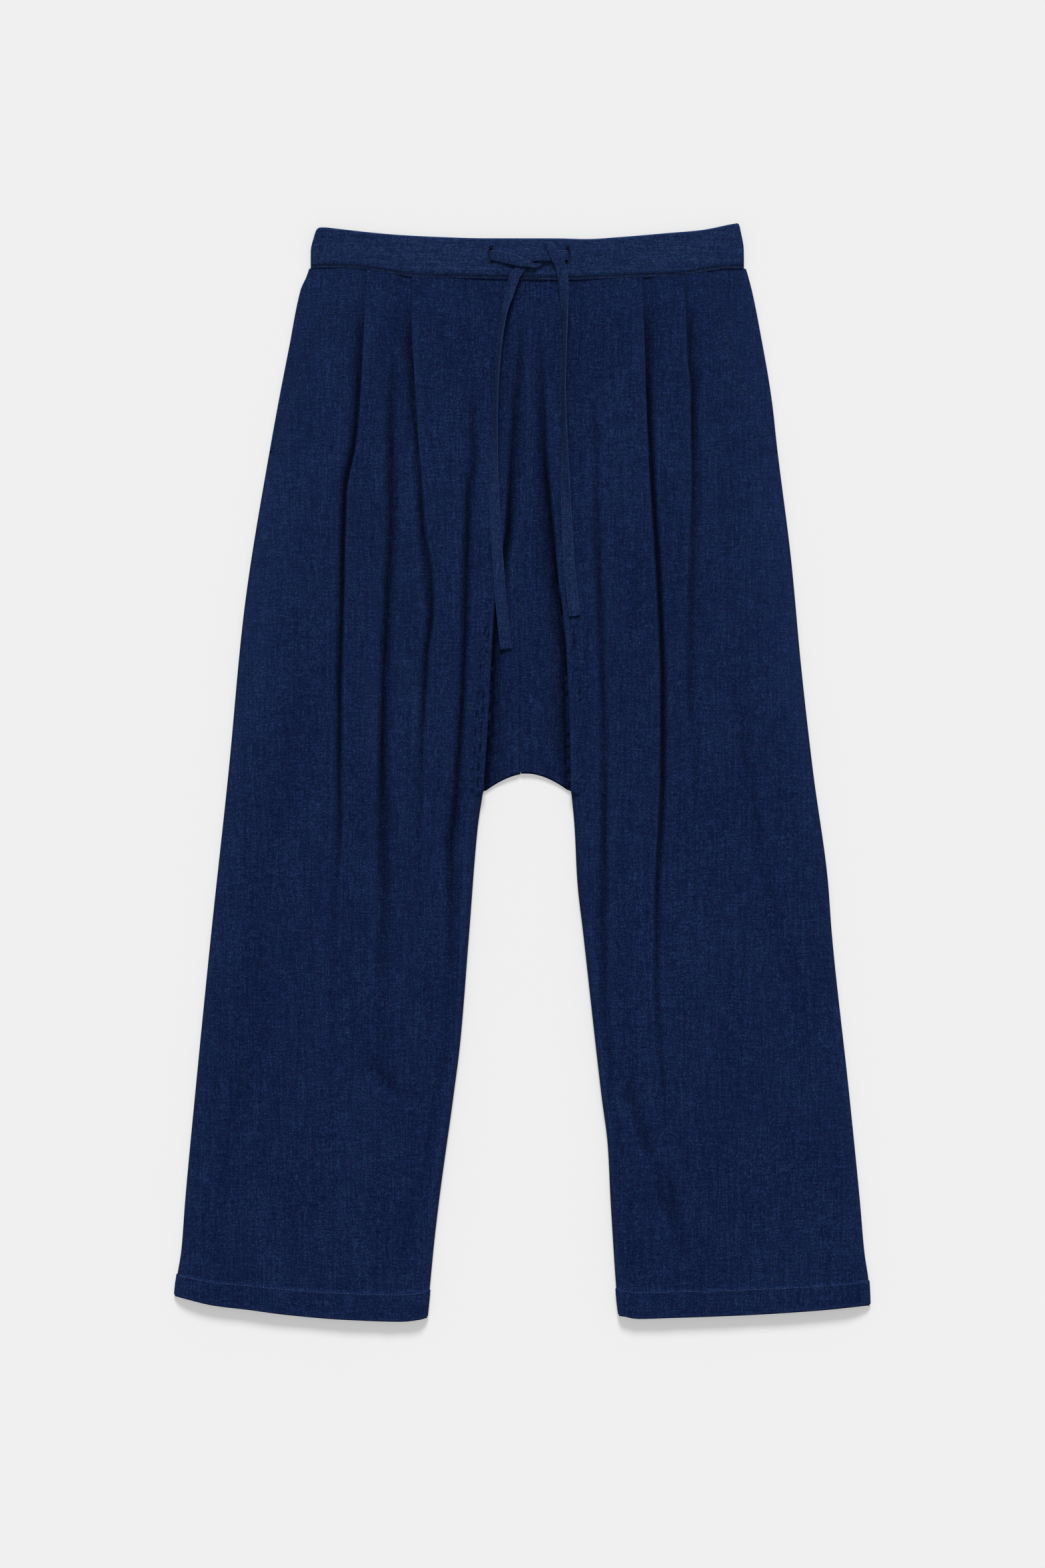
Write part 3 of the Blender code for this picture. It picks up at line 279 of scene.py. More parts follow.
# Columns: y where a stretch of rows starts, the step of its rows.
ROW_STRETCHES = ((WAIST_Y, 2.0), (396.0, 2.8), (280.0, 3.4), (CROTCH_Y, 3.4), (-452.0, 2.0),
                 (HEM_Y + HEM_DEPTH + 1.0, 0.5), (HEM_Y + HEM_DEPTH, 2.0), (HEM_Y + 1.6, 0.4))
OUTER_EDGE_STEPS = 9
OUTER_STEPS = 34
BETWEEN_STEPS = 24
INNER_STEPS = 30
INNER_EDGE_STEPS = 8
FOLD_STEPS = 6
STRAIGHT_STEPS = 3
FORK_ARC_STEPS = 5
FORK_STEPS = 8
MIDDLE_STEPS = 16
SEAM_DIP = 0.45           # a seam's edge sinks this far
CREASE_SHARPNESS = 0.38
SOFT_BELOW = -190.0       # under this place the folds have opened out
SOFT_REACH = 260.0
LEAST_CRISP = 0.5
PRESSED = 0.42            # pleats are sewn this flat at the waist seam
PRESSED_REACH = 34.0
HEM_ROUND = 1.4
# Painted highlight: the cloth is painted paler toward the outseams on the upper legs.
HIP_HIGHLIGHT = 0.085
HIP_HIGHLIGHT_REACH = 55.0
HIP_HIGHLIGHT_START = -120     # above this place the painted highlight starts
HIP_HIGHLIGHT_RISE = 300

# Ripples along seams. Columns: height, how far from the seam they die away, their length.
OUTSEAM_PUCKER = (0.42, 9.0, 13.0)
INSEAM_PUCKER = (0.36, 8.0, 12.0)
CENTRE_PUCKER = (0.16, 6.0, 10.0)
WAIST_PUCKER = (0.30, 8.0, 10.5)
FACING_PUCKER = (0.30, 7.0, 12.0)
# Columns: height, distance of the ripples' middle from the edge, their breadth, their length.
POCKET_PUCKER = (0.45, 4.5, 3.5, 8.5)
# Columns: height, how far they die away above the stitches and below them, their length.
HEM_PUCKER = (0.26, 9.0, 12.0, 8.0)

# Widths of the pattern's grain across, along and through the cloth, in millimetres. Real yarns
# are 0.4 mm apart, too fine to show, so they are drawn about three times as coarse.
WARP_GRAIN = (1.2, 12.0, 1.2)
WEFT_GRAIN = (10.0, 1.2, 10.0)
HEATHER_GRAIN = (1.3, 1.5, 1.3)
SLUB_GRAIN = (1.6, 60.0, 1.6)
CAST_GRAIN = (2.0, 2.6, 2.0)
CLOUD_GRAIN = (60.0, 120.0, 60.0)

# Where the camera stood over the garment.
PHOTO_HEIGHT = 1.4112     # real height of the photo's frame
PHOTO_CENTRE = (0.0003, -0.0105)


class Curve:
    """Smooth curve, with no overshoot, from a table's first column to another one."""

    def __init__(self, rows, column=1):
        rows = sorted(rows)
        self.keys = np.array([row[0] for row in rows], float)
        self.values = np.array([row[column] for row in rows], float)
        steps = np.diff(self.values) / np.diff(self.keys)
        self.slopes = np.zeros(len(rows))
        self.slopes[0], self.slopes[-1] = steps[0], steps[-1]
        before, after = steps[:-1], steps[1:]
        same = before * after > 0
        total = np.where(same, before + after, 1.0)
        self.slopes[1:-1] = np.where(same, 2 * before * after / total, 0.0)

    def __call__(self, at):
        at = np.clip(at, self.keys[0], self.keys[-1])
        i = np.clip(np.searchsorted(self.keys, at) - 1, 0, len(self.keys) - 2)
        width = self.keys[i + 1] - self.keys[i]
        t = (at - self.keys[i]) / width
        return ((1 + 2 * t) * (1 - t) ** 2 * self.values[i]
                + t * (1 - t) ** 2 * width * self.slopes[i]
                + t * t * (3 - 2 * t) * self.values[i + 1]
                - t * t * (1 - t) * width * self.slopes[i + 1])


WAIST_LINE = Curve(WAIST_SEAM)
TOP_LINE = Curve(WAIST_TOP)
HEM_LINE = Curve(HEM)
CENTRE_LINE = Curve(CENTRE_FRONT)
LEG_LOFT, VALLEY_LOFT, CENTRE_LOFT = (Curve(LOFT, column) for column in (1, 2, 3))


class Leg:
    """The curves of one leg, read from its table."""

    def __init__(self, word, table):
        self.word = word
        self.side = table["side"]
        self.outseam = Curve(table["outseam"])
        self.inseam = Curve(table["inseam"])
        self.slant = Curve(table["slant"])
        self.pulls = table["pulls"]
        self.pleats = [[Curve(rows, c) for c in range(1, 7)] for rows in table["pleats"]]
        self.fork = [Curve(table["fork"], c) for c in range(1, 5)]
        self.creases = [(out, in_, Curve(rows), Curve(rows, 2))
                        for out, in_, rows in table["creases"]]


LEGS = (Leg("left", LEFT), Leg("right", RIGHT))


def ease(t):
    t = np.clip(t, 0.0, 1.0)
    return t * t * (3 - 2 * t)


def mix(a, b, t):
    return a + (b - a) * t


def waves(at, length, seed):
    """Uneven ripples from -1 to 1 along a seam."""
    total = np.sin(2 * np.pi * at / length + seed)
    total = total + 0.7 * np.sin(2 * np.pi * at / (length * 1.37) + 2.3 * seed)
    total = total + 0.6 * np.sin(2 * np.pi * at / (length * 0.73) + 3.1 * seed)
    swell = 0.65 + 0.35 * np.sin(at / (length * 0.9) + 5.0 * seed)
    return total * swell / 2.3


def cloudy(x, y, across, along, seed):
    """Smooth noise from about -1 to 1 with patches of the given width and length."""
    places = np.stack([np.ravel(x) / across, np.ravel(np.broadcast_to(y, np.shape(x))) / along])
    values = [noise.noise(Vector((a, b, seed))) for a, b in places.T]
    return np.array(values).reshape(np.shape(x))


class Row:
    """One leg's own sizes at one place between waist and hem."""

    def __init__(self, leg, y):
        self.leg = leg
        self.y = y
        self.pocket = y >= POCKET_END_Y
        self.outer = -float(leg.slant(y) if self.pocket else leg.outseam(y))
        self.loft = float(LEG_LOFT(y))
        self.crispness = float(ease((y - SOFT_BELOW) / SOFT_REACH))
        self.pleats = [[float(curve(y)) for curve in pleat] for pleat in leg.pleats]
        self.creases = [(out, in_, float(place(y)), float(depth(y)))
                        for out, in_, place, depth in leg.creases]

    def height(self, x):
        """Middle line above its base, without the layers of the pleats."""
        x = np.asarray(x, float)
        loft = np.full_like(x, self.loft)
        if self.pocket and self.loft < POCKET_LIFT:
            past = (x - self.outer - FACING_UNDER - LIFT_KEPT) / LIFT_FADE
            loft += (POCKET_LIFT - self.loft) * (1 - ease(past))
        for reach_out, reach_in, out, depth in self.creases:
            distance = (x + out) / np.where(x + out > 0, reach_in, reach_out)
            wide, narrow = np.exp(-distance ** 2), np.exp(-np.abs(distance / 0.42) ** 1.3)
            loft -= depth * mix(wide, narrow, CREASE_SHARPNESS * self.crispness)
        for (out, _, _, _, _, dip), pull in zip(self.pleats, self.leg.pulls):
            distance = -out - x
            loft -= np.where(distance > 0, dip * np.exp(-(distance / pull) ** 2), 0.0)
        return np.maximum(loft, 0.0)


def turn(points, start, end, radius, steps):
    """Continue a section along an arc whose heading goes from start to end, in radians."""
    part = (end - start) / steps
    length = 2 * radius * abs(math.sin(part / 2))
    for i in range(steps):
        heading = start + part * (i + 0.5)
        x, z = points[-1]
        points.append((x + length * math.cos(heading), z + length * math.sin(heading)))


def pleat_points(row, pleat):
    """Layers of one pleat, from the low cloth outside it to the high cloth inside."""
    out, degrees, radius, overlap, rise, _ = pleat
    angle = math.radians(degrees)
    radius = max(radius, BEND_LENGTH / angle)
    points = [(0.0, 0.0)]
    turn(points, 0.0, angle, radius, FOLD_STEPS)
    for _ in range(STRAIGHT_STEPS):
        x, z = points[-1]
        step = overlap / STRAIGHT_STEPS
        points.append((x + step * math.cos(angle), z + step * math.sin(angle)))
    upright = min(angle, math.pi / 2)
    edge_x = points[-1][0] + radius * (math.sin(angle) - math.sin(upright))
    turn(points, angle, 0.0, radius, FOLD_STEPS)
    low = float(row.height(-out + min(points[0][0] - edge_x, -2.0)))
    scale = max(rise / points[-1][1], LEAST_STRETCH)
    return [(-out + x - edge_x, low + z * scale) for x, z in points]


def span(row, places, fade_end, excess):
    """Cloth between two folds; what a pleat lifts sinks back by fade_end."""
    sink = 1 - ease((places - places[0]) / max(fade_end - places[0], 1.0))
    return list(zip(places, row.height(places) + excess * sink))


def beside(folded):
    return max(folded[0][0], folded[FOLD_STEPS][0], folded[-1][0]) + BESIDE_FOLD


def leg_points(row, half, fork_turn, inner, inner_reach):
    """Middle line of a front across one leg, from its outer edge to its inner edge."""
    edge = row.outer + half
    reach = POCKET_EDGE_REACH if row.pocket else OUTSEAM_REACH
    top = float(row.height(edge + reach))
    drop = top - (POCKET_LIFT if row.pocket else 0.0)
    angles = np.linspace(math.pi / 2, 0, OUTER_EDGE_STEPS)
    points = list(zip(edge + reach * (1 - np.sin(angles)), top - drop * (1 - np.cos(angles))))
    start = points[-1][0]
    outer, inward = row.pleats
    folded = pleat_points(row, outer)
    end = min(-outer[0] - 2, folded[0][0] - BESIDE_FOLD)
    points += span(row, np.linspace(start, end, OUTER_STEPS), end, 0.0)[1:] + folded
    flat = beside(folded)
    excess = folded[-1][1] - float(row.height(flat))
    folded = pleat_points(row, inward)
    end = min(-inward[0] - 2, folded[0][0] - BESIDE_FOLD)
    points += span(row, np.linspace(flat, end, BETWEEN_STEPS), end, excess) + folded
    flat = beside(folded)
    excess = folded[-1][1] - float(row.height(flat))
    upright = min(fork_turn, math.pi / 2)
    across, down = inner_reach
    first = inner - across * math.sin(upright)
    places = np.linspace(flat, first, INNER_STEPS)
    points += span(row, places, mix(flat, first, 0.75), excess)[:-1]
    top = float(row.height(first))
    down = top if down is None else down
    angles = np.linspace(0, upright, INNER_EDGE_STEPS)
    points += list(zip(first + across * np.sin(angles), top - down * (1 - np.cos(angles))))
    return points


def upper_points(row, half):
    """Middle line across a front above the crotch, and how many points belong to the leg."""
    leg, y = row.leg, row.y
    out, degrees, radius, overlap = (float(curve(y)) for curve in leg.fork)
    angle = math.radians(degrees)
    radius = max(radius, BEND_LENGTH / angle)
    points = leg_points(row, half, angle, -out, (radius, radius))
    leg_count = len(points)
    upright = min(angle, math.pi / 2)
    arc = radius * (angle - upright)
    full = arc + overlap
    tight = float(ease((degrees - 90) / 50))
    folded = [(0.0, 0.0)]
    for i in range(1, FORK_STEPS + 1):
        rest = overlap * (i - FORK_ARC_STEPS) / (FORK_STEPS - FORK_ARC_STEPS)
        folded_along = arc * i / FORK_ARC_STEPS if i <= FORK_ARC_STEPS else arc + rest
        along = mix(full * i / FORK_STEPS, folded_along, tight)
        turned = upright + min(along, arc) / radius
        straight = max(along - arc, 0.0)
        folded.append((radius * (math.sin(turned) - math.sin(upright))
                       + straight * math.cos(angle),
                       radius * (math.cos(turned) - math.cos(upright))
                       - straight * math.sin(angle)))
    turn(folded, -angle, 0.0, radius, FOLD_STEPS)
    valley = float(VALLEY_LOFT(y))
    edge_x, edge_z = points[-1]
    scale = (edge_z - valley) / -folded[-1][1]
    points += [(edge_x + x, edge_z + z * scale) for x, z in folded[1:]]
    centre = -leg.side * float(CENTRE_LINE(y)) - GAP / 2
    start = points[-1][0]
    for i in range(1, MIDDLE_STEPS + 1):
        t = 1 - (1 - i / MIDDLE_STEPS) ** 1.25
        z = mix(valley, float(CENTRE_LOFT(y)), float(ease(t)))
        points.append((mix(start, centre, t), z))
    return points, leg_count


def lower_points(row, half):
    """Middle line across a front below the crotch."""
    inner = -float(row.leg.inseam(row.y)) - half
    groove = -row.creases[1][2] if row.leg.side < 0 else -row.creases[0][2]
    reach = max(4.0, min(INSEAM_REACH, 0.45 * (inner - groove)))
    return leg_points(row, half, math.pi / 2, inner, (reach, None))


def arch(x, leg):
    """Lower edge between the legs at a place across the garment."""
    end = leg.side * float(leg.inseam(CROTCH_Y))
    t = np.clip((x - ARCH_TOP[0]) / (end - ARCH_TOP[0]), 0.0, 1.0)
    return ARCH_TOP[1] + (CROTCH_Y - ARCH_TOP[1]) * t ** ARCH_POWER


def bent_y(y, x, leg, middle, arch_drop=0.0):
    """A row's y after it is bent onto the waist seam, the hem or the arch."""
    near_waist = max(0.0, (y - WAIST_Y + BEND_REACH) / BEND_REACH) ** 2
    near_hem = float(ease((HEM_Y + BEND_REACH - y) / BEND_REACH))
    moved = y + near_waist * (WAIST_LINE(x) - WAIST_Y) + near_hem * (HEM_LINE(x) - HEM_Y)
    share = max(0.0, (MIDDLE_TOP - y) / (MIDDLE_TOP - CROTCH_Y)) ** 2
    return moved + np.where(middle, (arch(x, leg) - arch_drop - CROTCH_Y) * share, 0.0)


def rumpled(x, y):
    """Height that the soft troughs and ridges add at places of the garment."""
    total = np.zeros_like(x)
    for x1, y1, x2, y2, width, depth in RUMPLES:
        along = ((x - x1) * (x2 - x1) + (y - y1) * (y2 - y1)) / ((x2 - x1) ** 2 + (y2 - y1) ** 2)
        across = np.hypot(x - mix(x1, x2, along), y - mix(y1, y2, along))
        taper = ease((along + 0.35) / 0.5) * ease((1.35 - along) / 0.5)
        total -= depth * taper * np.exp(-(across / width) ** 2)
    return total


def hip_highlight(out, y, leg):
    """Painted highlight: how much paler the cloth is painted toward the outseam, on the upper legs.
    """
    from_outseam = leg.outseam(y) - out
    return (HIP_HIGHLIGHT * np.exp(-from_outseam / HIP_HIGHLIGHT_REACH)
            * float(ease((y - HIP_HIGHLIGHT_START) / HIP_HIGHLIGHT_RISE)))


def puckered(row, x, world_x, sizes):
    """Height that the sewing adds: ripples that die away from each seam."""
    leg, y = row.leg, row.y
    seed = 1.7 if leg.side < 0 else 4.1
    from_outer = x - row.outer
    here = np.full_like(x, y)
    height, reach, length = OUTSEAM_PUCKER
    total = height * np.exp(-from_outer / reach) * waves(here, length, seed)
    if y < CROTCH_Y:
        height, reach, length = INSEAM_PUCKER
        from_inner = -float(leg.inseam(y)) - x
        total += height * np.exp(-from_inner / reach) * waves(here, length, seed + 1)
    else:
        height, reach, length = CENTRE_PUCKER
        from_centre = np.abs(x + leg.side * float(CENTRE_LINE(y)))
        total += height * np.exp(-from_centre / reach) * waves(here, length, seed + 2)
    if row.pocket:
        height, middle, breadth, length = POCKET_PUCKER
        band = np.exp(-((from_outer - middle) / breadth) ** 2)
        total += height * band * waves(y + 0.5 * from_outer, length, seed + 3)
    height, reach, length = WAIST_PUCKER
    total += height * math.exp(-(WAIST_Y - y) / reach) * waves(world_x, length, seed + 4)
    height, reach_above, reach_below, length = HEM_PUCKER
    from_stitch = y - HEM_Y - HEM_DEPTH
    reach = reach_above if from_stitch > 0 else reach_below
    hem = height * math.exp(-abs(from_stitch) / reach)
    total += hem * waves(world_x + 0.8 * from_stitch, length, seed + 5)
    return total * sizes.pucker


def hex_colour(code):
    """Linear colour from an sRGB hex code."""
    parts = [int(code[i:i + 2], 16) / 255 for i in (1, 3, 5)]
    return [c / 12.92 if c <= 0.04045 else ((c + 0.055) / 1.055) ** 2.4 for c in parts] + [1.0]


def add_node(tree, kind, inputs=None, **settings):
    """Adds a node with its settings. An input that is a socket is linked, others are set."""
    made = tree.nodes.new(kind)
    for name, value in settings.items():
        setattr(made, name, value)
    for socket, value in (inputs or {}).items():
        if isinstance(value, bpy.types.NodeSocket):
            tree.links.new(value, made.inputs[socket])
        else:
            made.inputs[socket].default_value = value
    return made


def grain(tree, place, size, detail, shift):
    """Noise whose grains have the given sizes in millimetres."""
    scaled = add_node(tree, "ShaderNodeMapping", {
        "Vector": place, "Location": (shift, shift * 0.7, shift * 1.3),
        "Scale": [1 / (width * MM) for width in size]})
    return add_node(tree, "ShaderNodeTexNoise", {
        "Vector": scaled.outputs["Vector"], "Scale": 1.0, "Detail": detail,
        "Roughness": 0.6}).outputs["Fac"]


def weigh(tree, parts):
    """Sum of sockets, each taken from its middle value and weighed."""
    total = None
    for socket, weight in parts:
        part = add_node(tree, "ShaderNodeMath", {0: socket, 1: 0.5}, operation="SUBTRACT")
        part = add_node(tree, "ShaderNodeMath", {0: part.outputs[0], 1: weight},
                        operation="MULTIPLY")
        if total is not None:
            part = add_node(tree, "ShaderNodeMath", {0: part.outputs[0], 1: total},
                            operation="ADD")
        total = part.outputs[0]
    return total


def woven_indigo(name, deep, middle, pale, worn_and_lit, shift, warp_axis=1):
    """Indigo-dyed cotton, plain woven from slubbed yarn: matt, mottled, streaked along its warp."""
    finish = bpy.data.materials.new(name)
    finish.use_nodes = True
    tree = finish.node_tree
    shader = tree.nodes["Principled BSDF"]
    place = add_node(tree, "ShaderNodeTexCoord").outputs["Object"]
    turned = (0, 1, 2) if warp_axis == 1 else (1, 0, 2)
    warp, weft, heather, slub, cast, cloud = (
        grain(tree, place, [size[i] for i in turned], detail, shift + 2 * number)
        for number, (size, detail) in enumerate((
            (WARP_GRAIN, 1.0), (WEFT_GRAIN, 1.0), (HEATHER_GRAIN, 1.0), (SLUB_GRAIN, 0.0),
            (CAST_GRAIN, 1.0), (CLOUD_GRAIN, 1.0))))
    tone = weigh(tree, ((warp, 0.34), (weft, 0.30), (heather, 0.75), (slub, 0.14),
                        (cloud, 0.10)))
    tone = add_node(tree, "ShaderNodeMath", {0: tone, 1: 0.5}, operation="ADD").outputs[0]
    ramp = add_node(tree, "ShaderNodeValToRGB", {"Fac": tone})
    ramp.color_ramp.elements[0].position = 0.18
    ramp.color_ramp.elements[0].color = hex_colour(deep)
    ramp.color_ramp.elements[1].position = 0.86
    ramp.color_ramp.elements[1].color = hex_colour(pale)
    ramp.color_ramp.elements.new(0.5).color = hex_colour(middle)
    # Yarns dyed a little redder and a little greener give the colour its depth.
    redder = add_node(tree, "ShaderNodeMix", {0: 1.0, 6: ramp.outputs["Color"],
                                              7: (1.16, 0.92, 1.06, 1.0)},
                      data_type="RGBA", blend_type="MULTIPLY")
    greener = add_node(tree, "ShaderNodeMix", {0: 1.0, 6: ramp.outputs["Color"],
                                               7: (0.84, 1.08, 0.94, 1.0)},
                       data_type="RGBA", blend_type="MULTIPLY")
    edge = add_node(tree, "ShaderNodeMath", {0: cast, 1: 0.38}, operation="SUBTRACT")
    edge = add_node(tree, "ShaderNodeMath", {0: edge.outputs[0], 1: 4.0}, operation="MULTIPLY",
                    use_clamp=True)
    dyed = add_node(tree, "ShaderNodeMix", {0: edge.outputs[0], 6: redder.outputs[2],
                                            7: greener.outputs[2]}, data_type="RGBA")
    # Paler where this attribute says, partly wear and partly painted highlight.
    fade = add_node(tree, "ShaderNodeAttribute", attribute_name="fade").outputs["Fac"]
    blend = add_node(tree, "ShaderNodeMix", {0: fade, 6: dyed.outputs[2],
                                             7: hex_colour(worn_and_lit)}, data_type="RGBA")
    # Painted shade: the cloth is darkened towards black down in the folds.
    painted_fold_shade = add_node(tree, "ShaderNodeAttribute", attribute_name="fold").outputs["Fac"]
    sunk = add_node(tree, "ShaderNodeMix", {0: painted_fold_shade, 6: blend.outputs[2],
                                            7: (0.0, 0.0, 0.0006, 1.0)}, data_type="RGBA")
    tree.links.new(sunk.outputs[2], shader.inputs["Base Color"])
    bump_height = weigh(tree, ((warp, 1.0), (weft, 0.9), (heather, 0.6), (slub, 0.5)))
    bump = add_node(tree, "ShaderNodeBump", {"Height": bump_height, "Strength": 0.35,
                                             "Distance": 0.0004})
    tree.links.new(bump.outputs["Normal"], shader.inputs["Normal"])
    shader.inputs["Roughness"].default_value = 0.95
    shader.inputs["Specular IOR Level"].default_value = 0.03
    shader.inputs["Sheen Weight"].default_value = 0.03
    shader.inputs["Sheen Roughness"].default_value = 0.45
    shader.inputs["Sheen Tint"].default_value = hex_colour("#7F93C4")
    return finish


def spun_thread(name, colour):
    """Spun polyester sewing thread: slightly glossier than the cloth, with a twist."""
    finish = bpy.data.materials.new(name)
    finish.use_nodes = True
    tree = finish.node_tree
    shader = tree.nodes["Principled BSDF"]
    place = add_node(tree, "ShaderNodeTexCoord").outputs["Object"]
    twist = grain(tree, place, (0.4, 0.4, 0.4), 1.0, 2.0)
    bump = add_node(tree, "ShaderNodeBump", {"Height": twist, "Strength": 0.4,
                                             "Distance": 0.0001})
    tree.links.new(bump.outputs["Normal"], shader.inputs["Normal"])
    dark = [part * 0.7 for part in hex_colour(colour)[:3]] + [1.0]
    blend = add_node(tree, "ShaderNodeMix", {0: twist, 6: dark, 7: hex_colour(colour)},
                     data_type="RGBA")
    tree.links.new(blend.outputs[2], shader.inputs["Base Color"])
    shader.inputs["Roughness"].default_value = 0.6
    shader.inputs["Specular IOR Level"].default_value = 0.3
    return finish


def painted_floor(name, colour, glow):
    """White acrylic of a light table: it glows evenly, so that shadows on it stay pale."""
    finish = bpy.data.materials.new(name)
    finish.use_nodes = True
    tree = finish.node_tree
    shader = tree.nodes["Principled BSDF"]
    place = add_node(tree, "ShaderNodeTexCoord").outputs["Object"]
    mottle = grain(tree, place, (90.0, 90.0, 90.0), 3.0, 1.0)
    off = [part * 0.99 for part in hex_colour(colour)[:3]] + [1.0]
    blend = add_node(tree, "ShaderNodeMix", {0: mottle, 6: hex_colour(colour), 7: off},
                     data_type="RGBA")
    tree.links.new(blend.outputs[2], shader.inputs["Base Color"])
    shader.inputs["Roughness"].default_value = 1.0
    shader.inputs["Specular IOR Level"].default_value = 0.0
    shader.inputs["Emission Color"].default_value = (1.0, 1.0, 1.0, 1.0)
    shader.inputs["Emission Strength"].default_value = glow
    return finish


def finish_of(key):
    """The scene's own material of that name, made when it is first asked for."""
    colours = bpy.context.scene.jeans_colours
    makers = {
        "indigo_cotton_plain_weave": lambda name: woven_indigo(
            name, colours.deep, colours.middle, colours.pale, colours.worn_and_lit, 0.0),
        "indigo_cotton_waistband": lambda name: woven_indigo(
            name, colours.band_deep, colours.band_middle, colours.band_pale, colours.worn_and_lit, 20.0,
            warp_axis=0),
        "indigo_cotton_tape": lambda name: woven_indigo(
            name, colours.band_deep, colours.band_middle, colours.band_pale, colours.worn_and_lit, 40.0),
        "indigo_spun_thread": lambda name: spun_thread(name, colours.thread),
        "faded_spun_thread": lambda name: spun_thread(name, colours.hem_thread),
        "buttonhole_thread": lambda name: spun_thread(name, colours.eyelet_thread),
        "white_light_table": lambda name: painted_floor(
            name, colours.floor, bpy.context.scene.jeans_stage.table_glow),
    }
    return bpy.data.materials.get(key) or makers[key](key)


def link_mesh(name, mesh, material):
    """A finished piece at the origin, its place in its mesh."""
    mesh.materials.clear()
    mesh.materials.append(finish_of(material))
    made = bpy.data.objects.new(name, mesh)
    bpy.context.scene.collection.objects.link(made)
    return made


def shell(name, upper, lower, cells, material, marks=None, flip=False, sharp=50):
    """Closed wall from two sheets of points, in millimetres, and the cells between them."""
    keys = sorted(upper)
    number = {key: i for i, key in enumerate(keys)}
    shift = len(keys)
    faces, edges = [], set()
    for cell in cells:
        ring = [number[key] for key in cell]
        if flip:
            ring.reverse()
        faces.append(ring)
        faces.append([i + shift for i in reversed(ring)])
        edges.update(zip(ring, ring[1:] + ring[:1]))
    for a, b in sorted(edges):
        if (b, a) not in edges:
            faces.append([b, a, a + shift, b + shift])
    points = np.array([upper[k] for k in keys] + [lower[k] for k in keys]) * MM
    mesh = bpy.data.meshes.new(name)
    mesh.from_pydata(points.tolist(), [], faces)
    mesh.shade_smooth()
    mesh.set_sharp_from_angle(angle=math.radians(sharp))
    for word in ("fade", "fold"):
        layer = mesh.attributes.new(word, "FLOAT", "POINT")
        if marks and word in marks:
            layer.data.foreach_set("value", [marks[word][k] for k in keys] + [0.0] * shift)
    return link_mesh(name, mesh, material)


def fold_depth(x, z, reach=7.0):
    """How far each point of a section lies under the cloth beside it, in millimetres."""
    low, high = x.min(), x.max()
    count = int((high - low) / 0.5) + 2
    top = np.full(count, -1.0)
    np.maximum.at(top, ((x - low) / 0.5).astype(int), z)
    places = np.arange(count)
    known = top > -0.5
    top = np.interp(places, places[known], top[known])
    side = int(4 * reach)
    weights = np.exp(-(np.arange(-side, side + 1) * 0.5 / reach) ** 2)
    padded = np.pad(top, side, mode="edge")
    smooth = np.convolve(padded, weights / weights.sum(), mode="valid")
    return np.interp((x - low) / 0.5, places, smooth - top)


def walls(x, z, above, below):
    """Upper and lower face of a section, square to its middle line, and its bend."""
    heading = np.arctan2(np.diff(z), np.diff(x))
    first = np.concatenate([heading[:1], heading])
    second = np.concatenate([heading, heading[-1:]])
    bend = np.remainder(second - first + np.pi, 2 * np.pi) - np.pi
    square = first + bend / 2
    stretch = 1 / np.maximum(np.cos(bend / 2), 0.5)
    side_x, side_z = -np.sin(square) * stretch, np.cos(square) * stretch
    upper = (x + side_x * above, z + side_z * above)
    lower = (x - side_x * below, z - side_z * below)
    return upper, lower, bend


def grid_cells(rows, columns):
    return [((r, c), (r, c + 1), (r + 1, c + 1), (r + 1, c))
            for r in range(rows - 1) for c in range(columns - 1)]


def fine_rows():
    """Places of the rows between waist and hem, closer where the cloth is sewn."""
    rows = []
    ends = [top for top, _ in ROW_STRETCHES[1:]] + [HEM_Y]
    for (top, step), end in zip(ROW_STRETCHES, ends):
        count = max(1, round((top - end) / step))
        rows += [mix(top, end, i / count) for i in range(count)]
    return rows + [HEM_Y]


